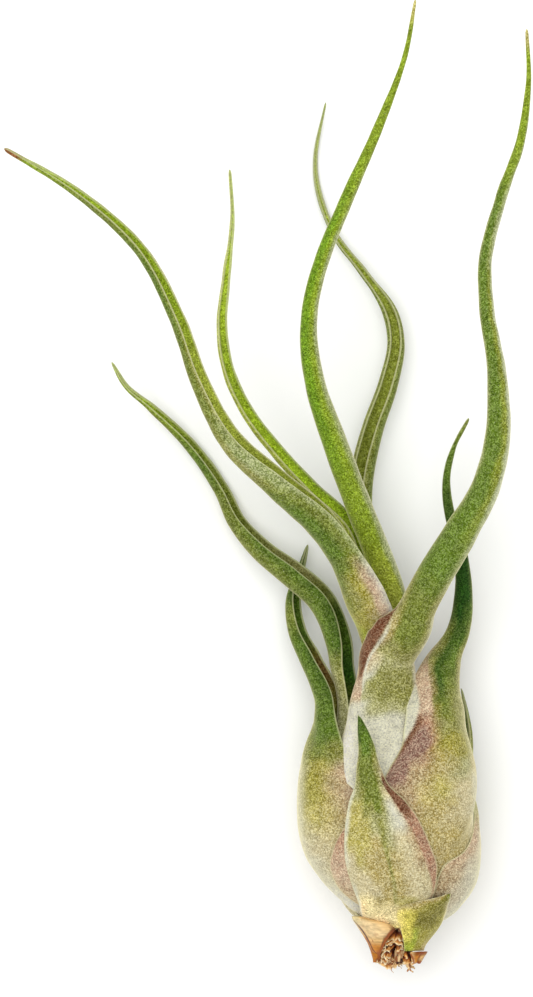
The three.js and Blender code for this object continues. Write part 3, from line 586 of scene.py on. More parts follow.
# %% The curved leaf at the back
LEAVES += [
    dict(
        name="leaf_back_curved", azimuth=278, swell=0, joined_from=12,
        margins=[[12, 80, 80], [30, 72, 72], [40, 62, 62], [50, 54, 54], [58, 46, 46], [66, 40, 40]],
        turn=[56, 74],
        route=[[1, 52, 12.4], [0.6, 60, 11.6], [0, 68, 10], [-1.8, 77, 8.6], [-4.4, 87, 7.8],
            [-6, 97, 7.4], [-5.6, 106.7, 7.2], [-3.2, 117, 6.8], [0.2, 127, 6.2], [1.9, 136, 5.6],
            [0.4, 143, 5], [-5.4, 151.6, 4], [-11.4, 159.6, 2.0], [-15.2, 169.4, 0.75],
            [-15.9, 177, 0.8], [-13.6, 189.2, 2.4]],
        girth=[[0, 3.4], [0.2, 2.9], [0.4, 2.6], [0.56, 2.1], [0.64, 1.7], [0.7, 1.05], [0.85, 0.65],
            [1, 0.32]],
        roll=[[0, 80], [0.15, 95], [0.3, 150], [0.7, 140], [1, 115]],
        opens=[[0, 0, 0, 1], [0.35, -0.35, 0, 0.95], [0.55, -0.15, 0, 1], [0.7, 0.2, 0, 1], [1, 0, 0, 1]],
        paint=[
            (0.2, "silver"),
            (0.8, "sage moss moss moss sage"),
            (1, "moss green green green moss"),
            (1.5, "olive green green green olive"),
            (2, "green"),
        ],
        inside=[(0, "rose"), (0.8, "gold"), (1.2, "tan"), (1.26, "fern"), (1.5, "fern"), (2, "lime")],
    ),
]
print("leaves so far:", len(LEAVES))

# %% The three inner leaves
LEAVES += [
    dict(
        name="leaf_left_long", azimuth=128, swell=0, joined_from=14,
        margins=[[14, 80, 80], [34, 78, 78], [46, 78, 78], [56, 80, 80], [66, 84, 84], [76, 84, 84]],
        turn=[62, 80],
        route=[[-1.2, 58, 17.2], [-1.6, 65, 17.8], [-2.2, 71, 19], [-3.6, 77.6, 21.4],
            [-8.2, 87.6, 25.4], [-14.3, 95.9, 29], [-24.9, 105.2, 33], [-34.6, 114.4, 35.4],
            [-41.4, 127.4, 36.2], [-46.2, 140.8, 35.2], [-54.4, 156, 32.6], [-68, 168.4, 29.6],
            [-84.3, 178.4, 27]],
        girth=[[0, 5.6], [0.1, 5.3], [0.15, 5.2], [0.22, 4.1], [0.33, 3.5], [0.43, 2.9], [0.54, 2.1],
            [0.7, 1.6], [0.85, 1.15], [1, 0.55]],
        roll=[[0, 88], [0.14, 105], [0.3, 145], [0.5, 135], [1, 130]],
        opens=[[0, 0.55, 0, -0.6], [0.12, 0.65, 0, -0.6], [0.25, 0.9, 0.2, -0.1], [0.38, 0.8, 0.4, 0.25],
            [0.5, 0.75, 0.5, 0.65], [0.65, 0.7, 0.5, 0.95], [0.85, 0.7, 0.4, 0.8], [1, 0.6, 0.6, 0.3]],
        paint=[
            (0.2, "silver"),
            (0.7, "silver silver straw straw gold gold gold tan pink"),
            (0.88, "gold gold gold gold grass gold khaki tan pink"),
            (0.96, "sage sage grass grass gold gold khaki pink pearl"),
            (1.03, "moss moss moss moss olive moss gold pink pearl"),
            (1.1, "moss moss olive olive green green green olive mist"),
            (1.2, "sage moss olive olive olive green green olive mist"),
            (1.31, "sage sage moss olive olive olive moss mist mist"),
            (1.46, "sage sage moss moss moss olive olive olive moss"),
            (1.65, "sage sage moss moss olive green green green olive"),
            (1.8, "olive olive olive olive olive green green olive olive"),
            (1.96, "lime"),
            (1.985, "rust"),
            (2, "rust"),
        ],
        inside=[(0, "rose"), (0.9, "pink"), (1.08, "grass"), (1.45, "grass"), (1.62, "lime"), (2, "lime")],
    ),
    dict(
        name="leaf_centre_tall", azimuth=20, swell=0, joined_from=16,
        margins=[[16, 80, 80], [38, 74, 74], [50, 68, 68], [60, 62, 62], [70, 56, 56]],
        turn=[60, 78],
        route=[[3.4, 58, 15.6], [3.2, 66, 15], [2.4, 74, 15.2], [0.6, 81.6, 16], [-2.4, 89.8, 18],
            [-6.4, 99.6, 21.2], [-11.6, 113.4, 26], [-16, 126.4, 30], [-17.5, 138.6, 32.4],
            [-15.6, 150.6, 33.6], [-9.8, 165.6, 34.2], [-2.4, 182.4, 34.4], [3.6, 198.4, 34.4],
            [5.9, 210.8, 34.4]],
        girth=[[0, 3.0], [0.2, 3.0], [0.35, 2.8], [0.45, 2.3], [0.55, 1.8], [0.7, 1.5], [0.8, 1.15],
            [0.92, 0.6], [1, 0.32]],
        roll=[[0, 90], [0.15, 110], [0.28, 148], [1, 140]],
        opens=[[0, -0.9, 0, 0.1], [0.12, -0.5, 0, -0.5], [0.25, -0.3, 0, -0.95], [1, -0.3, 0.2, -0.9]],
        paint=[
            (0.2, "silver"),
            (0.9, "straw straw grass grass grass mist haze haze haze"),
            (1.02, "mist grass grass grass grass mist haze haze haze"),
            (1.15, "mist lime lime lime lime mist haze haze haze"),
            (1.35, "mist lime fresh fresh lime mist haze haze haze"),
            (1.6, "mist lime fresh fresh lime mist haze haze haze"),
            (1.8, "mist lime lime lime lime lime mist mist mist"),
            (1.93, "lime"),
            (2, "straw"),
        ],
        inside=[(0, "rose"), (0.9, "grass"), (2, "lime")],
    ),
    dict(
        name="leaf_left_thin", azimuth=235, swell=0, joined_from=18,
        margins=[[18, 76, 76], [40, 70, 70], [52, 62, 62], [62, 54, 54], [72, 46, 46]],
        turn=[58, 76],
        route=[[-0.6, 58, 14], [-1, 68, 13.2], [-2.2, 76, 12.8], [-4.6, 86, 13.8], [-8.4, 95.6, 16.4],
            [-16.9, 103.8, 20], [-24.8, 112.4, 23.4], [-31.2, 121, 26.4], [-35.2, 130, 28.8],
            [-36.5, 139.7, 30.4], [-35.6, 149.6, 31.4], [-34.2, 162.8, 32], [-34.8, 173.6, 32.4]],
        girth=[[0, 1.9], [0.3, 1.8], [0.5, 1.6], [0.66, 1.35], [0.8, 1.0], [0.92, 0.5], [1, 0.32]],
        roll=[[0, 90], [0.3, 130], [1, 110]],
        opens=[[0, 0.4, 0, 0.9], [0.3, 0.4, 0.3, 0.9], [1, 0.2, 0, 1]],
        paint=[
            (0.2, "silver"),
            (0.9, "fresh fresh fresh lime grass"),
            (2, "lime lime lime grass grass"),
        ],
        inside=[(0, "rose"), (0.9, "grass"), (1.25, "bright"), (1.6, "lime"), (2, "lime")],
    ),
]
print("leaves so far:", len(LEAVES))

# %% [markdown]
# ## Sheaths in layers
#
# A sheath is a patch of the bulb's surface between two margins. Where other sheaths lie over it, it is
# pressed inwards by one layer for each. The press fades out softly just beyond the outer sheath's edge, as
# it does on the plant. So a point of a sheath needs only its height, and how far it is across the leaf: u,
# from -1 at the right margin over 0 at the keel to 1 at the left. A real margin is thin and clings to the
# sheath below, so each is tucked in.

# %% Sheaths
TUCK = 0.85  # how far a margin is tucked in, in mm
TUCK_WIDTH = 3.0  # over which the tuck grows
SEARCHED_TO, SEARCH_STEP = 40, 0.1  # the heights that are tried for a sheath's base
BASE_LIFT = 0.2  # from where a sheath would just touch the stem


def top_of(leaf):
    return leaf["turn"][1] if "turn" in leaf else leaf["margins"][-1][0]


def turn_to(leaf, azimuth):
    """The angle from the leaf's azimuth to another, in degrees, from -180 to 180."""
    return (azimuth - leaf["azimuth"] + 540) % 360 - 180


def layers_over(number, azimuth, height):
    """How many sheaths lie over leaf number, at each azimuth and height."""
    total = 0
    for outer in LEAVES[:number]:
        away = turn_to(outer, azimuth)
        reach = np.where(away > 0, along(outer["margins"], height, 1), along(outer["margins"], height, 2))
        top = top_of(outer) + PRESS_PAD
        below = 1 - ease(top, top + PRESS_FALL, height)
        near = reach + PRESS_PAD_DEG
        total = total + below * (1 - ease(near, near + PRESS_FALL_DEG, np.abs(away)))
    return total


def sheath_radius(number, azimuth, height):
    leaf = LEAVES[number]
    away = np.abs(turn_to(leaf, azimuth))
    swell = leaf["swell"] * (1 - ease(SWELL_FULL_DEG, SWELL_NONE_DEG, away))
    envelope = along(BODY, height) + swell * (along(OUTLINE, height) - along(BODY, height))
    return envelope - LAYER * layers_over(number, azimuth, height)


def smallest_radius(height):
    """The outer face of a sheath that lies on the stem."""
    return along(STEM, height) + CLEARANCE + SHEATH_WALL


def base_height(number):
    """The height at which a sheath meets the stem, which is higher for each leaf further in."""
    leaf = LEAVES[number]
    heights = np.arange(leaf["joined_from"], SEARCHED_TO, SEARCH_STEP)
    clear = sheath_radius(number, leaf["azimuth"], heights) > smallest_radius(heights)
    return heights[np.argmax(clear)] + BASE_LIFT


def sheath_points(number, height, u, depth):
    """Points of a sheath, at a depth under its outer face, and never under the table."""
    leaf = LEAVES[number]
    reach = np.where(u > 0, along(leaf["margins"], height, 1), along(leaf["margins"], height, 2))
    azimuth = leaf["azimuth"] + u * reach
    radius = sheath_radius(number, azimuth, height)
    to_margin = (1 - np.abs(u)) * np.radians(reach) * radius
    radius = radius - TUCK * (1 - ease(0, TUCK_WIDTH, to_margin))
    radius = np.maximum(radius, smallest_radius(height)) - depth
    x = along(AXIS, height) + radius * np.cos(np.radians(azimuth))
    z = AXIS_Z + BULB_DEPTH * radius * np.sin(np.radians(azimuth))
    lying = depth + LAYER * layers_over(number, azimuth, height)
    return np.stack([x, height + 0 * x, np.maximum(z, lying)], axis=-1)


innermost = len(LEAVES) - 1
over_innermost = float(layers_over(innermost, LEAVES[innermost]["azimuth"], REST_HEIGHT))
print("layers over the innermost leaf at the bulb's widest:", round(over_innermost, 1))

# %% [markdown]
# ## Blades rolled along a route
#
# A blade is a strip rolled into a channel along a curved line. The line through the route's points is a
# centripetal curve, which has no loops or kinks between unevenly spaced points. At each place the roll
# needs a way to open, which the leaf's rows give, and `side`, square to it and to the line.

# %% Routes
STEPS_A_SPAN = 60
NEARBY = 0.002  # the share of a route on either side of a place that gives its direction there
FLARED_FROM = 0.5  # the u from which a flare grows towards the margin
TIP_LENGTH = 1.2  # over which a blade's tip is rounded off, in mm
TIP_ROUND = 0.98  # how nearly it closes: 1 would be a point
SOLID_SHARE = 0.12  # of a blade's radius, left between its middle line and its inner face


def smooth_route(points):
    """Close points on the curve through the route, and the share of its length run at each."""
    p = np.array(points, float)
    p = np.vstack([2 * p[0] - p[1], p, 2 * p[-1] - p[-2]])
    t = np.linspace(0, 1, STEPS_A_SPAN, endpoint=False)[:, None]
    spans = []
    for a, b, c, d in zip(p, p[1:], p[2:], p[3:]):
        ab, bc, cd = (math.sqrt(np.linalg.norm(q - r)) for q, r in ((a, b), (b, c), (c, d)))
        leave = ((b - a) / ab - (c - a) / (ab + bc) + (c - b) / bc) * bc
        arrive = ((c - b) / bc - (d - b) / (bc + cd) + (d - c) / cd) * bc
        spans.append((1 + 2 * t) * (1 - t) ** 2 * b + t * (1 - t) ** 2 * leave
            + t * t * (3 - 2 * t) * c + t * t * (t - 1) * arrive)
    line = np.vstack([*spans, p[-2:-1]])
    run = np.concatenate([[0], np.cumsum(np.linalg.norm(np.diff(line, axis=0), axis=1))])
    return line, run / run[-1], run[-1]


def at_share(line, shares, wanted):
    """Points of a line at the wanted shares of its length."""
    return np.stack([np.interp(wanted, shares, line[:, k]) for k in range(3)], axis=-1)


def unit(vectors):
    return vectors / np.linalg.norm(vectors, axis=-1, keepdims=True)


def blade_points(leaf, share, u, depth):
    """Points of the rolled blade, for a column of shares and a row of u."""
    line, shares = leaf["line"], leaf["shares"]
    middle = at_share(line, shares, share)
    tangent = unit(at_share(line, shares, share + NEARBY) - at_share(line, shares, share - NEARBY))
    opens = np.stack([along(leaf["opens"], share, k) for k in (1, 2, 3)], axis=-1)
    keel = -unit(opens - np.sum(opens * tangent, axis=-1, keepdims=True) * tangent)
    side = np.cross(keel, tangent)
    outer = along(leaf["girth"], share)
    if "flare" in leaf:
        outer = outer + along(leaf["flare"], share) * ease(FLARED_FROM, 1, u)
    tip = 1 - TIP_LENGTH / leaf["length"]
    outer = outer * np.sqrt(1 - TIP_ROUND * np.clip((share - tip) / (1 - tip), 0, 1) ** 2)
    radius = np.maximum(outer - depth, SOLID_SHARE * outer)[..., None]
    angle = np.radians(u * along(leaf["roll"], share))[..., None]
    return middle + keel * radius * np.cos(angle) + side * radius * np.sin(angle)


for leaf in LEAVES:
    if "route" in leaf:
        leaf["line"], leaf["shares"], leaf["length"] = smooth_route(leaf["route"])
        print(leaf["name"], "has a route of", round(leaf["length"]), "mm")

# %% [markdown]
# ## From rows to a leaf
#
# A leaf's grid has a row about every half millimetre and enough columns across. Its outer and inner faces
# are that grid at two depths, and a rounded lip joins them along each margin. Between the heights in
# `turn` a row is partly sheath and partly blade, which makes the neck.

# %% Rows and columns
ROW_STEP = 0.5
COLUMN_STEP = 0.5
FEWEST_ROWS = 12  # in a sheath
FEWEST_COLUMNS, MOST_COLUMNS = 37, 171
CLIMB = 0.6  # every route climbs up to this share of it, so a height has one place there
TIP_ROWS = np.array([0.6, 0.3, 0.1, 0])  # the last rows' ways from the end, as shares of the rounded tip
WAVES = 7  # in a soft noise
WAVE_SPREAD = (0.7, 1.6)  # how many times a wave may repeat in a swell's size


def rows_of(number):
    """For each row of a leaf: its height, its share of the route, how far it is rolled, and its place."""
    leaf = LEAVES[number]
    base, top = base_height(number), top_of(leaf)
    heights = np.linspace(base, top, max(int((top - base) / ROW_STEP), FEWEST_ROWS))
    place = heights / top
    if "route" not in leaf:
        return heights, np.zeros_like(heights), np.zeros_like(heights), place
    low = leaf["shares"] < CLIMB
    share = np.interp(heights, leaf["line"][low, 1], leaf["shares"][low])
    rolled = ease(leaf["turn"][0], leaf["turn"][1], heights)
    start = share[-1]
    count = int((1 - start) * leaf["length"] / ROW_STEP)
    tip = 1 - TIP_LENGTH / leaf["length"]
    blade = np.concatenate([np.linspace(start, tip, count)[1:], 1 - (1 - tip) * TIP_ROWS])
    return (
        np.concatenate([heights, np.full(len(blade), top)]),
        np.concatenate([share, blade]),
        np.concatenate([rolled, np.ones(len(blade))]),
        np.concatenate([place, 1 + (blade - start) / (1 - start)]),
    )


def face_points(number, rows, u, inner):
    """One face of a leaf: the outer where inner is 0, the inner where it is 1."""
    leaf = LEAVES[number]
    height, share, rolled = (values[:, None] for values in rows[:3])
    thinning = 1 - (1 - MARGIN_SHARE) * u ** 4
    points = sheath_points(number, height, u, inner * SHEATH_WALL * thinning)
    if "route" in leaf:
        wall = inner * BLADE_WALL * thinning + 0 * height
        points = points + rolled[..., None] * (blade_points(leaf, share, u, wall) - points)
    return points


def columns_of(number):
    """u for each column, from the leaf's widest place."""
    leaf = LEAVES[number]
    widest = max(math.radians(left + right) * along(BODY, height) for height, left, right in leaf["margins"])
    if "roll" in leaf:
        widest = max(widest, 2 * math.radians(max(row[1] for row in leaf["roll"])) * leaf["girth"][0][1])
    count = int(np.clip(widest / COLUMN_STEP, FEWEST_COLUMNS, MOST_COLUMNS))
    return np.linspace(-1, 1, count)


def soft_noise(points, size, seed):
    """A smooth random value from about -1 to 1 at each point, with swells of about this size in mm."""
    random = np.random.default_rng(seed)
    total = 0
    for _ in range(WAVES):
        way = random.normal(size=3)
        way = way / np.linalg.norm(way) * random.uniform(*WAVE_SPREAD) * 2 * math.pi / size
        total = total + np.sin(points @ way + random.uniform(0, 2 * math.pi))
    return 2 * total / WAVES


for number, leaf in enumerate(LEAVES):
    print(leaf["name"], "has", len(rows_of(number)[0]), "rows and", len(columns_of(number)), "columns")

# %% [markdown]
# ## Painting
#
# Each point of a leaf takes its colour from the pigment rows, blended smoothly across the leaf and along
# it. A soft noise shifts the blends a little, so that no border is a straight line. The result is kept on
# the mesh as attributes: `skin`, the bare colour, and `frost`, how strongly the scales veil it. `margin`,
# the line that edges a leaf, and `across_mm`, the way across it, join them when the leaf is made.

# %% The painter
EXPOSURE = 1.25  # how bright the picture shows the white board
SCALE_COLOUR = "C2BFA2"
COVER = 0.42  # the part of a leaf that its scales hide where frost is 1
GLOW = 0.02  # what the sheen adds to a leaf seen face on
DARKEST = 0.25  # bare skin is never darker than this share of the colour seen from afar
SHADED = 1.3  # an inner face lies in its own leaf's shade, so its skin is lighter than it looks
BAND_EDGE, BAND_END = 0.03, 0.04  # half the softness of a band's edge, as u, and all of its end's
MARK_EDGE = (0.55, 1.1)  # a mark fades out between these shares of its size
PLACE_WANDER, PLACE_SWELLS = 0.012, 7  # how far borders wander along a leaf, and the swells' size in mm
U_WANDER, U_SWELLS = 0.04, 5  # the same across it


def pigment(name):
    """Linear red, green, blue and frost."""
    colour, frost = PIGMENTS[name]
    return (*linear(colour)[:3], frost)


def pigment_table(rows):
    """The pigments of the rows. A row that names one has it in every column."""
    rows = [names.split() for _, names in rows]
    columns = max(len(row) for row in rows)
    return np.array([[pigment(name) for name in (row if len(row) > 1 else row * columns)] for row in rows])


def blend_rows(rows, place, u):
    """The blend of the pigment rows, at each place and u."""
    keys = [row[0] for row in rows]
    table = pigment_table(rows)
    row = np.interp(place, keys, np.arange(len(keys)))
    column = (1 - u) / 2 * (table.shape[1] - 1)
    i = np.clip(row.astype(int), 0, len(keys) - 2)
    j = np.clip(column.astype(int), 0, max(table.shape[1] - 2, 0))
    s = ease(0, 1, row - i)[..., None]
    t = ease(0, 1, column - j)[..., None]
    next_j = np.minimum(j + 1, table.shape[1] - 1)
    left = table[i, j] * (1 - s) + table[i + 1, j] * s
    right = table[i, next_j] * (1 - s) + table[i + 1, next_j] * s
    return left * (1 - t) + right * t


def band_weight(rows, place, u):
    """1 within a band and 0 outside it, with a narrow soft edge."""
    rows = np.array(rows)
    low, high = along(rows, place, 1), along(rows, place, 2)
    across = ease(low - BAND_EDGE, low + BAND_EDGE, u) * (1 - ease(high - BAND_EDGE, high + BAND_EDGE, u))
    first, last = rows[0, 0], rows[-1, 0]
    return across * ease(first, first + BAND_END, place) * (1 - ease(last - BAND_END, last, place))


def painted(leaf, points, place, u, inner, seed):
    """Colour and frost of every point of a face, as seen from afar."""
    wavy_place = place + PLACE_WANDER * soft_noise(points, PLACE_SWELLS, seed)
    wavy_u = np.clip(u + U_WANDER * soft_noise(points, U_SWELLS, seed + 1), -1, 1)
    if inner:
        return blend_rows(leaf["inside"], wavy_place, wavy_u) * (SHADED, SHADED, SHADED, 1)
    colour = blend_rows(leaf["paint"], wavy_place, wavy_u)
    for mark_place, mark_u, length, width, name in leaf.get("marks", []):
        away = np.hypot((wavy_place - mark_place) / length, (wavy_u - mark_u) / width)
        weight = (1 - ease(*MARK_EDGE, away))[..., None]
        colour = colour + weight * (np.array(pigment(name)) - colour)
    for name, rows in leaf.get("bands", []):
        colour = colour + band_weight(rows, place, u)[..., None] * (np.array(pigment(name)) - colour)
    return colour


def bare_skin(colour):
    """The skin's own colour: what is seen from afar, less what the scales add to it."""
    seen, frost = colour[..., :3] / EXPOSURE - GLOW, colour[..., 3:]
    covered = COVER * frost
    bare = (seen - covered * np.array(linear(SCALE_COLOUR)[:3])) / (1 - covered)
    return np.maximum(bare, DARKEST * colour[..., :3] / EXPOSURE)


for name in ("silver", "green", "skin"):
    print("bare skin under", name, "in light values:", bare_skin(np.array(pigment(name))).round(2).tolist())

# %% [markdown]
# Meshes are made from whole arrays of points and faces at once, which is quick. Attributes ride along. Each
# piece rides on the plant's one body, carries its material, and takes the place of the solid that it
# refines.

# %% Meshes
def make_piece(name, points, faces, material, replaces=None, attributes=None):
    """A piece in the frame, from points in mm along the bulb, that rides on the body."""
    mesh = bpy.data.meshes.new(name)
    placed = (np.asarray(points) - (0, REST_HEIGHT, 0)) * MM
    placed[:, 2] = np.maximum(placed[:, 2], 0)  # a sheath lies flat where it touches the table
    mesh.from_pydata(placed.tolist(), [], faces)
    mesh.polygons.foreach_set("use_smooth", [True] * len(mesh.polygons))
    mesh.materials.append(material)
    for key, values in (attributes or {}).items():
        if values.ndim == 2:
            made = mesh.attributes.new(key, "FLOAT_COLOR", "POINT")
            made.data.foreach_set("color", values.astype(np.float32).ravel())
        else:
            made = mesh.attributes.new(key, "FLOAT", "POINT")
            made.data.foreach_set("value", values.astype(np.float32).ravel())
    mesh.validate()
    mesh.update()
    piece = bpy.data.objects.new(name, mesh)
    scene.collection.objects.link(piece)
    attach(piece, "root")
    if replaces:
        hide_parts(replaces)


def ring_faces(rows, ring):
    """Quads between rows of points that each run once round."""
    r, k = np.meshgrid(np.arange(rows - 1), np.arange(ring), indexing="ij")
    a = r * ring + k
    b = r * ring + (k + 1) % ring
    return np.stack([a, a + ring, b + ring, b], axis=-1).reshape(-1, 4)


def leaf_faces(rows, columns):
    """The faces of a closed leaf: its rings, and the strips that close its two ends."""
    ring = 2 * columns + 2
    faces = ring_faces(rows, ring).tolist()
    last = (rows - 1) * ring
    for k in range(columns - 1):
        near, far = 2 * columns - k, 2 * columns - k - 1
        faces.append([k, k + 1, far, near])
        faces.append([last + k, last + near, last + far, last + k + 1])
    for a, b, c in ((columns - 1, columns, columns + 1), (2 * columns, 2 * columns + 1, 0)):
        faces.append([a, b, c])
        faces.append([last + a, last + c, last + b])
    return faces


def lip(outer, inner, inwards):
    """The rounded middle of a margin: half a wall outside the line between the two faces."""
    middle = (outer + inner) / 2
    way = unit(middle - inwards)
    return middle + 0.5 * np.linalg.norm(outer - inner, axis=-1, keepdims=True) * way


print("faces round a leaf of 3 rows and 4 columns:", len(leaf_faces(3, 4)))

# %% [markdown]
# ## The finish of a leaf
#
# Living leaf skin is a waxy green film, and here nearly all of it is covered by trichomes: flat silvery
# scales about a quarter of a millimetre wide, which overlap like tiles on the swollen sheaths and stand
# apart on the blades. They scatter light like felt: a leaf seen face on shows its green, and towards its
# outline, where the scales' raised wings line up, it looks pale. Sheen in the shader does just that. Wax
# would shine, but the scales hide it, so the skin is rough and has next to no gloss.
#
# Each scale is one cell of a Voronoi pattern with its own random draw from 0 to 1. A high draw is a scale
# that
# catches the light: it veils the skin in its own colour as strongly as the leaf's `frost` says, and the
# highest draws also lighten the skin with a painted highlight, a glint. A low draw is a deep gap between
# scales, darkened with painted shade. Broad mottling and fine veins along the leaf lie over all of it.

# %% Leaf skin with scales
TURN_A_MM = 1000  # textures read places in metres, so this scale gives a pattern one turn a mm
SCALE_MM = 0.24  # as on the plant, and just coarse enough to show
GAP_DRAW, PAINTED_GLINT_DRAW = 0.35, 0.65  # the draws below which a cell is a gap with painted shade, and above which it has a painted glint
FULL_DRAW = 0.8  # the draw from which a scale hides as much of the skin as it can
PAINTED_GAP_SHADES = (0.4, 0.75)  # painted shade of the deepest gap, where frost is 0 and where it is 1
MOTTLE_MM = 2.2
MOTTLE_SHADES = (0.82, 1.14)
NOISE_RANGE = (0.3, 0.7)  # nearly all of a noise's values lie between these
VEIN_MM = 0.8  # between the fine veins that run along a leaf
VEIN_SHADE = 0.03
MARGIN_COLOUR = "CDCE9E"


def skin_tone_and_painted_light(tree, place, across, draw, frost):
    """How light the skin is, about 1: mottled and veined, with painted shade in the gaps and a painted
    highlight where a scale glints.
    """
    mottle = add_node(tree, "TexNoise", {"Vector": place, "Scale": TURN_A_MM / MOTTLE_MM, "Detail": 4.0})
    broad = add_node(tree, "MapRange", {0: mottle.outputs["Fac"], 1: NOISE_RANGE[0], 2: NOISE_RANGE[1],
        3: MOTTLE_SHADES[0], 4: MOTTLE_SHADES[1]})
    # painted shade: a gap between scales is darker than the bare skin, least under a close coat
    deepest = add_node(tree, "MapRange", {0: frost, 3: PAINTED_GAP_SHADES[0], 4: PAINTED_GAP_SHADES[1]})
    gap = add_node(tree, "MapRange", {0: draw, 1: 0.0, 2: GAP_DRAW, 3: deepest.outputs[0], 4: 1.0})
    # painted highlight: a scale with a high draw lightens the skin, as a glint
    painted_glint = add_node(tree, "MapRange", {0: draw, 1: PAINTED_GLINT_DRAW, 2: 1.0, 3: 0.0, 4: 1.0})
    fine = add_node(tree, "Math", {0: gap.outputs[0], 1: painted_glint.outputs[0]}, operation="ADD")
    both = add_node(tree, "Math", {0: broad.outputs[0], 1: fine.outputs[0]}, operation="MULTIPLY")
    turn = add_node(tree, "Math", {0: across, 1: 2 * math.pi / VEIN_MM}, operation="MULTIPLY")
    vein = add_node(tree, "Math", {0: turn.outputs[0]}, operation="SINE")
    shade = add_node(tree, "Math", {0: vein.outputs[0], 1: VEIN_SHADE, 2: both.outputs[0]},
        operation="MULTIPLY_ADD")
    return shade.outputs[0]


def leaf_material():
    material, tree = new_material("leaf_skin_with_trichomes")
    skin = add_node(tree, "Attribute", attribute_name="skin").outputs["Color"]
    frost = add_node(tree, "Attribute", attribute_name="frost").outputs["Fac"]
    margin = add_node(tree, "Attribute", attribute_name="margin").outputs["Fac"]
    across = add_node(tree, "Attribute", attribute_name="across_mm").outputs["Fac"]
    place = add_node(tree, "TexCoord").outputs["Object"]
    cells = add_node(tree, "TexVoronoi", {"Vector": place, "Scale": TURN_A_MM / SCALE_MM})
    draw = add_node(tree, "SeparateColor", {0: cells.outputs["Color"]}).outputs[0]
    # the skin's own mottle and veins, with painted shade in the gaps and painted glints
    shade = skin_tone_and_painted_light(tree, place, across, draw, frost)
    shaded = add_node(tree, "VectorMath", {0: skin, 3: shade}, operation="SCALE").outputs[0]
    scale = add_node(tree, "MapRange", {0: draw, 1: GAP_DRAW, 2: FULL_DRAW, 3: 0.0, 4: 1.0}).outputs[0]
    veil = add_node(tree, "Math", {0: scale, 1: frost}, operation="MULTIPLY").outputs[0]
    scaled = add_node(tree, "Mix", {0: veil, 6: shaded, 7: linear(SCALE_COLOUR)}, data_type="RGBA")
    edged = add_node(tree, "Mix", {0: margin, 6: scaled.outputs[2], 7: linear(MARGIN_COLOUR)},
        data_type="RGBA")
    bump = add_node(tree, "Bump", {"Strength": 0.3, "Distance": 0.03 * MM, "Height": scale})
    finish_material(tree, add_node(tree, "BsdfPrincipled", {
        "Base Color": edged.outputs[2], "Roughness": 0.7, "Normal": bump.outputs[0],
        "Specular IOR Level": 0.08, "Sheen Weight": 1.0, "Sheen Roughness": 0.36,
        "Sheen Tint": linear("E8DFB4")}))
    return material


leaf_skin = leaf_material()
print("material:", leaf_skin.name)

# %% [markdown]
# The scales that stand highest also show as geometry: low five-sided shields, a little tilted, with a foot
# sunk in the leaf. They break up the light and the outline as the real felt does. One plain matt finish is
# enough for them, because each one's tilt gives it its own shade.

# %% Scales as geometry
SHIELDS_A_MM2 = 0.8  # where frost is 1
SHIELD_RADIUS = (0.06, 0.1)  # the least and the most, in mm
SHIELD_SIDES = 5
SHIELD_TOP, SHIELD_EDGE, SHIELD_FOOT = 0.05, 0.035, -0.05  # heights over the skin, in mm
SHIELD_TILT = 0.2  # the spread of the tilts, as slopes

shield_finish, shield_tree = new_material("trichome_shield")
finish_material(shield_tree, add_node(shield_tree, "BsdfPrincipled", {
    "Base Color": linear("CCCAAE"), "Roughness": 0.7, "Specular IOR Level": 0.2}))


def shield_spots(points, frost, random):
    """Random spots on a grid of points, as dense as the frost asks, with the way up and along at each."""
    a, b, c, d = points[:-1, :-1], points[1:, :-1], points[:-1, 1:], points[1:, 1:]
    area = np.linalg.norm(np.cross(b - a, c - a), axis=-1)
    count = random.poisson(area * SHIELDS_A_MM2 * frost[:-1, :-1])
    cell = np.repeat(np.arange(count.size), count.ravel())
    a, b, c, d = (corner.reshape(-1, 3)[cell] for corner in (a, b, c, d))
    s, t = random.uniform(size=(2, len(cell), 1))
    spot = a * (1 - s) * (1 - t) + b * s * (1 - t) + c * (1 - s) * t + d * s * t
    return spot, unit(np.cross(c - a, b - a)), unit(b - a)


def make_shields(name, points, frost, seed):
    random = np.random.default_rng(seed)
    spot, up, along_leaf = shield_spots(points, frost, random)
    count = len(spot)
    tilt = random.normal(0, SHIELD_TILT, size=(2, count, 1))
    side = np.cross(up, along_leaf)
    axis = unit(up + tilt[0] * along_leaf + tilt[1] * side)
    first = unit(np.cross(axis, side))
    second = np.cross(axis, first)
    radius = random.uniform(*SHIELD_RADIUS, size=(count, 1))
    turn = random.uniform(0, 2 * math.pi, size=(count, 1))
    corners = [spot + SHIELD_TOP * axis, spot + SHIELD_FOOT * axis]
    faces = []
    for k in range(SHIELD_SIDES):
        angle = turn + 2 * math.pi * k / SHIELD_SIDES
        rim = radius * (np.cos(angle) * first + np.sin(angle) * second)
        corners.append(spot + rim + SHIELD_EDGE * axis)
        this, after = 2 + k, 2 + (k + 1) % SHIELD_SIDES
        faces += [(0, this, after), (1, after, this)]
    start = len(corners) * np.arange(count)[:, None, None]
    faces = (start + np.array(faces)[None]).reshape(-1, 3).tolist()
    make_piece(name, np.stack(corners, axis=1).reshape(-1, 3), faces, shield_finish)
    return count


print("material:", shield_finish.name)

# %% [markdown]
# Dead leaf bases dry to a thin papery skin: honey tan, with fine straight veins and darker broken edges. It
# has a slight gloss where it is stretched over the bulb, so it is smoother than the living skin.

# %% Dry papery skin
VEIN_TURNS = (0.3, 1.6, 1.0)  # in a mm along x, y and z: the veins run round the bulb
VEIN_SHADES = (0.68, 1.25)
BLOTCH_MM = 2.2
BLOTCH_RANGE = (0.58, 0.72)  # the noise's values between which a blotch darkens
BLOTCH_MOST = 0.5  # how brown a blotch grows
BROKEN_BROWN = "8E4A18"


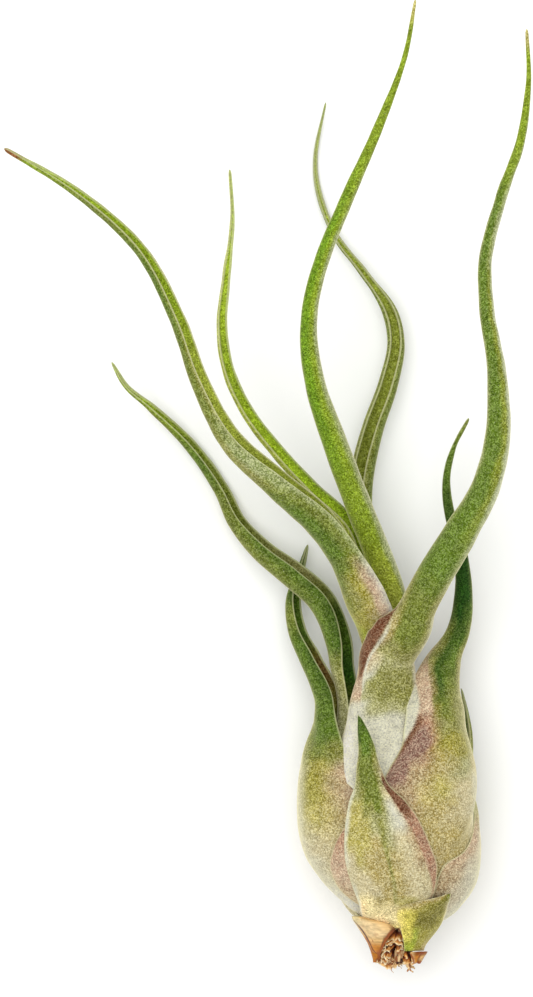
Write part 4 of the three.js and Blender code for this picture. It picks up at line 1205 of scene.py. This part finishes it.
def skin_material():
    material, tree = new_material("dry_papery_skin")
    skin = add_node(tree, "Attribute", attribute_name="skin").outputs["Color"]
    margin = add_node(tree, "Attribute", attribute_name="margin").outputs["Fac"]
    place = add_node(tree, "TexCoord").outputs["Object"]
    stretched = add_node(tree, "Mapping", {"Vector": place, "Scale": VEIN_TURNS})
    veins = add_node(tree, "TexNoise", {"Vector": stretched.outputs[0], "Scale": TURN_A_MM, "Detail": 4.0})
    blotches = add_node(tree, "TexNoise", {"Vector": place, "Scale": TURN_A_MM / BLOTCH_MM, "Detail": 3.0})
    vein_shade = add_node(tree, "MapRange", {0: veins.outputs["Fac"], 1: NOISE_RANGE[0], 2: NOISE_RANGE[1],
        3: VEIN_SHADES[0], 4: VEIN_SHADES[1]})
    shaded = add_node(tree, "VectorMath", {0: skin, 3: vein_shade.outputs[0]}, operation="SCALE")
    blotch = add_node(tree, "MapRange", {0: blotches.outputs["Fac"], 1: BLOTCH_RANGE[0], 2: BLOTCH_RANGE[1],
        3: 0.0, 4: BLOTCH_MOST})
    darker = add_node(tree, "Math", {0: blotch.outputs[0], 1: margin}, operation="MAXIMUM")
    colour = add_node(tree, "Mix", {0: darker.outputs[0], 6: shaded.outputs[0], 7: linear(BROKEN_BROWN)},
        data_type="RGBA")
    bump = add_node(tree, "Bump", {"Strength": 0.6, "Distance": 0.12 * MM, "Height": veins.outputs["Fac"]})
    finish_material(tree, add_node(tree, "BsdfPrincipled", {
        "Base Color": colour.outputs[2], "Roughness": 0.5, "Normal": bump.outputs[0],
        "Specular IOR Level": 0.25}))
    return material


papery_skin = skin_material()
print("material:", papery_skin.name)

# %% [markdown]
# ## Growing the leaves
#
# Now every leaf is made the same way: rows, columns, two faces, a lip along each margin, colours, mesh.
# The living ones then get their shields. The surface is never quite even, so a soft noise swells it
# slightly, and outwards hardly at all, to keep within the solids. A fine pale line edges a living leaf,
# where its margin is too thin to be green. A dead skin has a broader brown edge where it tore, and its
# lower end frays.

# %% The surface of a leaf
SLOTS = {"dry_skin": "dry_skin", "dry_skin_flap": "dry_skin", "bract_lower_right": "bract"}
RUFFLE, RUFFLE_SIZE, RUFFLE_MOST = 0.06, 8, 0.05  # in mm: how far the skin swells, how broadly, and at most
RUFFLED_FROM = 0.15  # the place along a leaf from which it swells in full
FRAY, FRAY_SIZE, FRAY_HEIGHT = 0.8, 1.5, 3  # in mm: how far a dead skin frays, how finely, and up to where
RUFFLE_SEED, FRAY_SEED = 40, 60


def slot_of(number):
    return SLOTS.get(LEAVES[number]["name"], "leaf_outer")


def leaf_surface(number, rows, u):
    """The outer and the inner face of a leaf."""
    heights, _, _, place = rows
    outer = face_points(number, rows, u, 0)
    inner = face_points(number, rows, u, 1)
    swell = RUFFLE * soft_noise(outer, RUFFLE_SIZE, RUFFLE_SEED + number)
    swell = swell * ease(0, RUFFLED_FROM, place)[:, None]
    outer = outer + np.minimum(swell, RUFFLE_MOST)[..., None] * unit(outer - inner)
    if slot_of(number) == "dry_skin":
        fading = 1 - ease(0, FRAY_HEIGHT, heights - heights[0])[:, None]
        fray = FRAY * (1 + soft_noise(outer[:1], FRAY_SIZE, FRAY_SEED + number)) * fading
        outer[..., 1] += fray
        inner[..., 1] += fray
    return outer, inner


def round_leaf(face, back, left, right):
    """Values in the order of a leaf's rings: outer face, left lip, inner face, right lip."""
    return np.concatenate([face, left[:, None], back[:, ::-1], right[:, None]], axis=1)


print("slots:", sorted({slot_of(number) for number in range(len(LEAVES))}))

# %% Leaves
MARGIN_LINE = 0.2  # the width of the line that edges a leaf, in mm
TORN_LINE = 0.6  # of the line along a torn edge, on average
TORN_LINE_VARIES, TORN_LINE_SIZE = 0.5, 2  # how much its width varies, and over what length
TORN_UP_TO = (0.55, 0.8)  # a dead skin's dark edge fades out between these places
MARGIN_STRENGTH = {"leaf_outer": 0.5, "bract": 0.15, "dry_skin": 1}
LINE_FADES = (0.5, 1.6)  # where a line's edge begins and ends, in widths
LINE_SEED, PAINT_SEED, SHIELD_SEED = 30, 100, 500


def margin_line(number, outer, place, from_margin):
    """How strongly the line that edges a leaf shows."""
    slot = slot_of(number)
    width, strength = MARGIN_LINE, MARGIN_STRENGTH[slot]
    if slot == "dry_skin":
        width = TORN_LINE + TORN_LINE_VARIES * soft_noise(outer, TORN_LINE_SIZE, LINE_SEED + number)
        strength = strength * (1 - ease(*TORN_UP_TO, place))
    return strength * (1 - ease(LINE_FADES[0] * width, LINE_FADES[1] * width, from_margin))


def leaf_attributes(number, rows, u, outer, inner):
    """What the leaf's material reads at each of its points, and the frost of its outer face."""
    leaf, seed = LEAVES[number], PAINT_SEED + 10 * number
    place = rows[-1][:, None] + 0 * u
    across = u + 0 * place
    face = painted(leaf, outer, place, across, False, seed)
    back = painted(leaf, inner, place, across, True, seed)
    step = np.linalg.norm(np.diff(outer, axis=1), axis=-1)
    run = np.concatenate([0 * step[:, :1], np.cumsum(step, axis=1)], axis=1)
    line = margin_line(number, outer, place, np.minimum(run, run[:, -1:] - run))
    colour = round_leaf(face, back, face[:, -1], face[:, 0]).reshape(-1, 4)
    skin = np.concatenate([bare_skin(colour), 0 * colour[:, :1] + 1], axis=1)
    attributes = {"skin": skin, "frost": colour[:, 3]}
    for key, values in (("margin", line), ("across_mm", run)):
        attributes[key] = round_leaf(values, values, values[:, -1], values[:, 0]).reshape(-1)
    return attributes, face[..., 3]


def make_leaf(number):
    name, slot = LEAVES[number]["name"], slot_of(number)
    dead = slot == "dry_skin"
    rows = rows_of(number)
    u = columns_of(number)[None, :]
    outer, inner = leaf_surface(number, rows, u)
    left_lip = lip(outer[:, -1], inner[:, -1], outer[:, -2])
    right_lip = lip(outer[:, 0], inner[:, 0], outer[:, 1])
    points = round_leaf(outer, inner, left_lip, right_lip)
    attributes, frost = leaf_attributes(number, rows, u, outer, inner)
    make_piece("fine_" + name, points.reshape(-1, 3), leaf_faces(len(points), u.size),
        papery_skin if dead else leaf_skin, name, attributes)
    shields = 0 if dead else make_shields("scales_" + name, outer, frost, SHIELD_SEED + number)
    print(f"{name}: {len(points)} rows, {u.size} columns, {shields} shields")


for number in range(len(LEAVES)):
    make_leaf(number)

# %% [markdown]
# ## The broken end of the stem
#
# The old end of the stem is dead. Its core is dry fibrous wood, pale where a fibre lies open to the light,
# and painted shade makes it nearly black in its deep pits. Dry wood is rough, so it hardly shines. Noise
# drawn out along the stem makes the fibres, and the pits are real hollows that a softer noise sinks into a
# thick tube.

# %% Dead wood
GRAIN_TURNS = (1.6, 0.5, 1.6)  # in a mm along x, y and z: the fibres run along the stem
PALE_RANGE = (0.42, 0.62)  # the noise's values between which wood turns from brown to pale
# the third colour is near black: the darker own tone of the core and of some threads, and painted shade in
# the pits
WOOD_BROWN, WOOD_PALE, DARK_TONE_AND_PIT_SHADE = "9A5A28", "F2D29A", "2C0D05"


def wood_material():
    material, tree = new_material("dead_fibrous_wood")
    pit = add_node(tree, "Attribute", attribute_name="pit").outputs["Fac"]
    place = add_node(tree, "TexCoord").outputs["Object"]
    stretched = add_node(tree, "Mapping", {"Vector": place, "Scale": GRAIN_TURNS})
    fibres = add_node(tree, "TexNoise", {"Vector": stretched.outputs[0], "Scale": TURN_A_MM, "Detail": 5.0})
    pale = add_node(tree, "MapRange", {0: fibres.outputs["Fac"], 1: PALE_RANGE[0], 2: PALE_RANGE[1],
        3: 0.0, 4: 1.0})
    wood = add_node(tree, "Mix", {0: pale.outputs[0], 6: linear(WOOD_BROWN), 7: linear(WOOD_PALE)},
        data_type="RGBA")
    # painted shade: the wood turns towards near black as the pit attribute grows, deepest in the pits
    dark = add_node(tree, "Mix", {0: pit, 6: wood.outputs[2], 7: linear(DARK_TONE_AND_PIT_SHADE)}, data_type="RGBA")
    bump = add_node(tree, "Bump", {"Strength": 0.8, "Distance": 0.2 * MM, "Height": fibres.outputs["Fac"]})
    finish_material(tree, add_node(tree, "BsdfPrincipled", {
        "Base Color": dark.outputs[2], "Roughness": 0.75, "Normal": bump.outputs[0]}))
    return material


dead_wood = wood_material()
print("material:", dead_wood.name)

# %% The core
CORE_RECESS = 2  # how far the core ends behind the stem's solid, whose end the torn bases fill, in mm
CORE_SHIFT = 0.2  # how far its end lies to the left of the axis, in mm
SHIFT_FADES = (-3, 4)  # the heights between which it comes back to the axis
CORE_THIN = 0.3  # the share of the stem's radius that is left at its end
CORE_WIDENS = (4, 8)  # the heights between which it grows to the stem's full radius
CORE_AROUND, CORE_ROWS = 72, 120
PIT_SIZE, SMALL_PIT_SIZE = 2.4, 1.1  # in mm
PIT_SEED, SMALL_PIT_SEED = 3, 4
PIT_RANGE = (-0.1, 0.6)  # the noise's values between which a pit deepens
PIT_DEPTH = 0.4  # as a share of the core's radius
PITS_FADE = (5, 9)  # the heights between which the last pits lie
CORE_SHADE = 0.25  # how dark the core is between its pits, in its own tone; the painted shade in a pit's depth takes it to 1


def tube(points, radii, around):
    """Rings round a line of points, in arrays, and the tube's closed faces. radii is one row a ring."""
    points = np.asarray(points, float)
    ahead = unit(np.gradient(points, axis=0))
    side = unit(np.cross((0, 0, 1), ahead))
    up = np.cross(ahead, side)
    angle = np.linspace(0, 2 * math.pi, around, endpoint=False)
    rings = (points[:, None] + radii[..., None] * (
        side[:, None] * np.cos(angle)[None, :, None] + up[:, None] * np.sin(angle)[None, :, None]))
    faces = ring_faces(len(points), around)[:, ::-1].tolist()
    last = (len(points) - 1) * around
    faces.append(list(range(around))[::-1])
    faces.append(list(range(last, last + around)))
    return rings.reshape(-1, 3), faces


def make_core():
    heights = np.linspace(STEM[0][0] + CORE_RECESS, STEM[-1][0], CORE_ROWS)
    shift = CORE_SHIFT * (1 - ease(*SHIFT_FADES, heights))
    line = np.stack([along(AXIS, heights) - shift, heights, 0 * heights + AXIS_Z], axis=-1)
    thin = CORE_THIN + (1 - CORE_THIN) * ease(*CORE_WIDENS, heights)
    radii = (thin * along(STEM, heights))[:, None] + np.zeros((1, CORE_AROUND))
    even = tube(line, radii, CORE_AROUND)[0].reshape(CORE_ROWS, CORE_AROUND, 3)
    noise = soft_noise(even, PIT_SIZE, PIT_SEED) + 0.5 * soft_noise(even, SMALL_PIT_SIZE, SMALL_PIT_SEED)
    pit = ease(*PIT_RANGE, noise) * (1 - ease(*PITS_FADE, heights))[:, None]
    rings, faces = tube(line, radii * (1 - PIT_DEPTH * pit), CORE_AROUND)
    # the pit attribute: a little of the core's own darker tone, and painted shade in the pits' depths
    make_piece("woody_core", rings, faces, dead_wood, "stem_and_roots",
        {"pit": (CORE_SHADE + (1 - CORE_SHADE) * pit).reshape(-1)})
    print("core:", len(faces), "faces")


make_core()

# %% [markdown]
# Round the core stand the torn bases of leaves that fell long ago: thin curved scraps with pale ragged edges
# and brown hollows between them. Their colour runs from cream at the torn edge through the dry tissue's
# brown, and painted shade takes it on to near black further behind the edge, where it sinks into the hollow.
# They are patches of a cylinder like the sheaths, of the same papery skin, with a noise that frays the edge
# and crumples
# the wall. The break slants: the upper ones broke off further back than the lower ones, so from above one
# looks into the hollow.

# %% Torn leaf bases
TORN_WALL = 0.26
TORN_SLOPE = 0.85  # how far the break slants back, in mm for each mm up
TORN_FRAY, TORN_FRAY_SIZE = 0.4, 1.3  # how far the edge frays, and how broadly, in mm
TORN_CRUMPLE, TORN_CRUMPLE_SIZE = 0.4, 2.0  # the same of the wall
TORN_DEPTH = 5  # how far behind its edge a scrap ends, hidden in the bulb
TORN_ROWS, TORN_COLUMNS = 26, 70
TORN_CROWDING = 1.5  # more than 1 sets the rows closer at the edge
JOINS_AXIS = (0, 8)  # the heights between which a scrap's middle bends to the axis
# cream at the torn edge through the dry tissue's brown, then painted shade to near black further behind it
TORN_SHADES = [(0, "FBE9C0"), (0.3, "EFC684"), (0.7, "C07C34"), (1.3, "6E2E0C"), (2.4, "2C0D04")]
SHADE_WANDER, SHADE_SIZE = 0.25, 0.9  # how far the shades' borders wander, and how finely, in mm
EDGE_SEED, WALL_SEED, SHADE_SEED = 70, 90, 95

# Each has its azimuth, its reach to either side, its radius, x of its middle, and its break's mean height.
TORN = [
    (265, 130, 3.5, 0.4, 1.1),
    (100, 62, 3.6, 0.7, 1.3),
    (235, 120, 2.6, 0.3, 1.2),
    (70, 60, 2.7, 0.6, 1.3),
    (150, 50, 2.0, 0.2, 1.6),
    (300, 110, 1.8, 0.9, 0.9),
    (180, 140, 1.1, -0.3, 1.0),
    (20, 120, 1.2, 2.5, 0.2),
    (250, 150, 1.0, 4.5, -0.6),
    (60, 100, 0.8, 3.9, -1.5),
]


def torn_face(number, height, u, radius):
    """Points of a scrap at a radius, from its heights and its columns u."""
    azimuth, reach, _, middle_x, _ = TORN[number]
    angle = np.radians(azimuth + u * reach) + 0 * height
    lean = (along(AXIS, 0.0) - middle_x) * (1 - ease(*JOINS_AXIS, height))
    x = along(AXIS, height) - lean + radius * np.cos(angle)
    return np.stack([x, height + 0 * angle, AXIS_Z + BULB_DEPTH * radius * np.sin(angle)], axis=-1)


def torn_shades(above):
    """Colours by the distance behind the torn edge, in mm: the dry tissue's cream and brown, then painted
    shade to near black.
    """
    table = np.array([linear(shade) for _, shade in TORN_SHADES])
    keys = [key for key, _ in TORN_SHADES]
    return np.stack([np.interp(above, keys, table[:, k]) for k in range(4)], axis=-1)


def make_scrap(number):
    azimuth, reach, radius, _, break_height = TORN[number]
    u = np.linspace(-1, 1, TORN_COLUMNS)[None, :]
    low = break_height + TORN_SLOPE * radius * np.sin(np.radians(azimuth + u * reach))
    edge = torn_face(number, low, u, radius)
    low = low + TORN_FRAY * soft_noise(edge, TORN_FRAY_SIZE, EDGE_SEED + number)
    above = TORN_DEPTH * np.linspace(0, 1, TORN_ROWS)[:, None] ** TORN_CROWDING
    height = low + above
    smooth = torn_face(number, height, u, radius)
    crumple = TORN_CRUMPLE * soft_noise(smooth, TORN_CRUMPLE_SIZE, WALL_SEED + number)
    outer = torn_face(number, height, u, radius + crumple)
    inner = torn_face(number, height, u, radius + crumple - TORN_WALL)
    points = round_leaf(outer, inner, lip(outer[:, -1], inner[:, -1], outer[:, -2]),
        lip(outer[:, 0], inner[:, 0], outer[:, 1]))
    shade = torn_shades(above + 0 * u + SHADE_WANDER * soft_noise(smooth, SHADE_SIZE, SHADE_SEED + number))
    skin = round_leaf(shade, shade, shade[:, -1], shade[:, 0]).reshape(-1, 4)
    make_piece(f"torn_base_{number}", points.reshape(-1, 3), leaf_faces(TORN_ROWS, TORN_COLUMNS),
        papery_skin, attributes={"skin": skin, "margin": 0 * skin[:, 0]})


for number in range(len(TORN)):
    make_scrap(number)
print("torn bases:", len(TORN))

# %% [markdown]
# Wiry fibres stick out of the break, and a few short roots, dried and bent, hang at its lower right. They
# are thin bent tubes that start inside the wood.

# %% Fibres and roots
# Lengths are in mm. `beside` is how far to the right of the axis they start and `heights` how high, `angles`
# are the ways they go round the break, `down` is how steeply they point away from the leaves, and `bend` how
# crooked they are.
FIBRE = dict(count=16, radius=0.12, beside=-1.2, angles=(-0.4, math.pi + 0.4), down=(0.5, 2),
    heights=(-0.6, 1.5), lengths=(0.8, 1.6), bend=0.7)
ROOT = dict(count=7, radius=0.34, beside=1.2, angles=(-0.9, 1.1), down=(0.7, 1.6),
    heights=(-0.6, 0.8), lengths=(1.0, 2.0), bend=0.9)
FLATNESS = 0.5  # of the spread: less towards the table and the viewer than to the sides
START_OUT = (0.2, 1.6)  # how far out along its way a thread starts
THREAD_RINGS, THREAD_SIDES = 14, 8
THREAD_TAPER = 0.5  # the share of its radius that a thread loses up to its tip
KINK, KINK_TURN = 0.3, 7  # how far its line weaves, and by what angle from end to end
KNOT, KNOT_TURN = 0.2, 9  # the same of its radius
DARKEST_THREAD = 0.5  # where a pit is 1
THREAD_SEED = 17


def thread_line(random, kind):
    """A bent line from inside the break outwards and down, and the share of it run at each point."""
    angle = random.uniform(*kind["angles"])
    down = random.uniform(*kind["down"])
    way = unit(np.array([math.cos(angle), -down, FLATNESS * math.sin(angle)]))
    middle = np.array([along(AXIS, 0.0) + kind["beside"], random.uniform(*kind["heights"]), AXIS_Z])
    start = middle + way * random.uniform(*START_OUT)
    share = np.linspace(0, 1, THREAD_RINGS)[:, None]
    length = random.uniform(*kind["lengths"])
    bend = kind["bend"] * random.uniform(-1, 1, size=(2, 3))
    kinks = KINK * bend[1] * np.sin(KINK_TURN * share)
    return start + way * length * share + bend[0] * share ** 2 + kinks, share


def make_threads():
    random = np.random.default_rng(THREAD_SEED)
    points, faces, shades = [], [], []
    for number, kind in enumerate([FIBRE] * FIBRE["count"] + [ROOT] * ROOT["count"]):
        line, share = thread_line(random, kind)
        knots = 1 + KNOT * np.sin(KNOT_TURN * share + number)
        radii = kind["radius"] * (1 - THREAD_TAPER * share) * knots + np.zeros((1, THREAD_SIDES))
        rings, thread_faces = tube(line, radii, THREAD_SIDES)
        offset = sum(len(part) for part in points)
        points.append(rings)
        faces += [[index + offset for index in face] for face in thread_faces]
        shades.append(np.full(len(rings), random.uniform(0, DARKEST_THREAD)))
    make_piece("fibres_and_roots", np.concatenate(points), faces, dead_wood,
        attributes={"pit": np.concatenate(shades)})
    print("threads:", len(points))


make_threads()
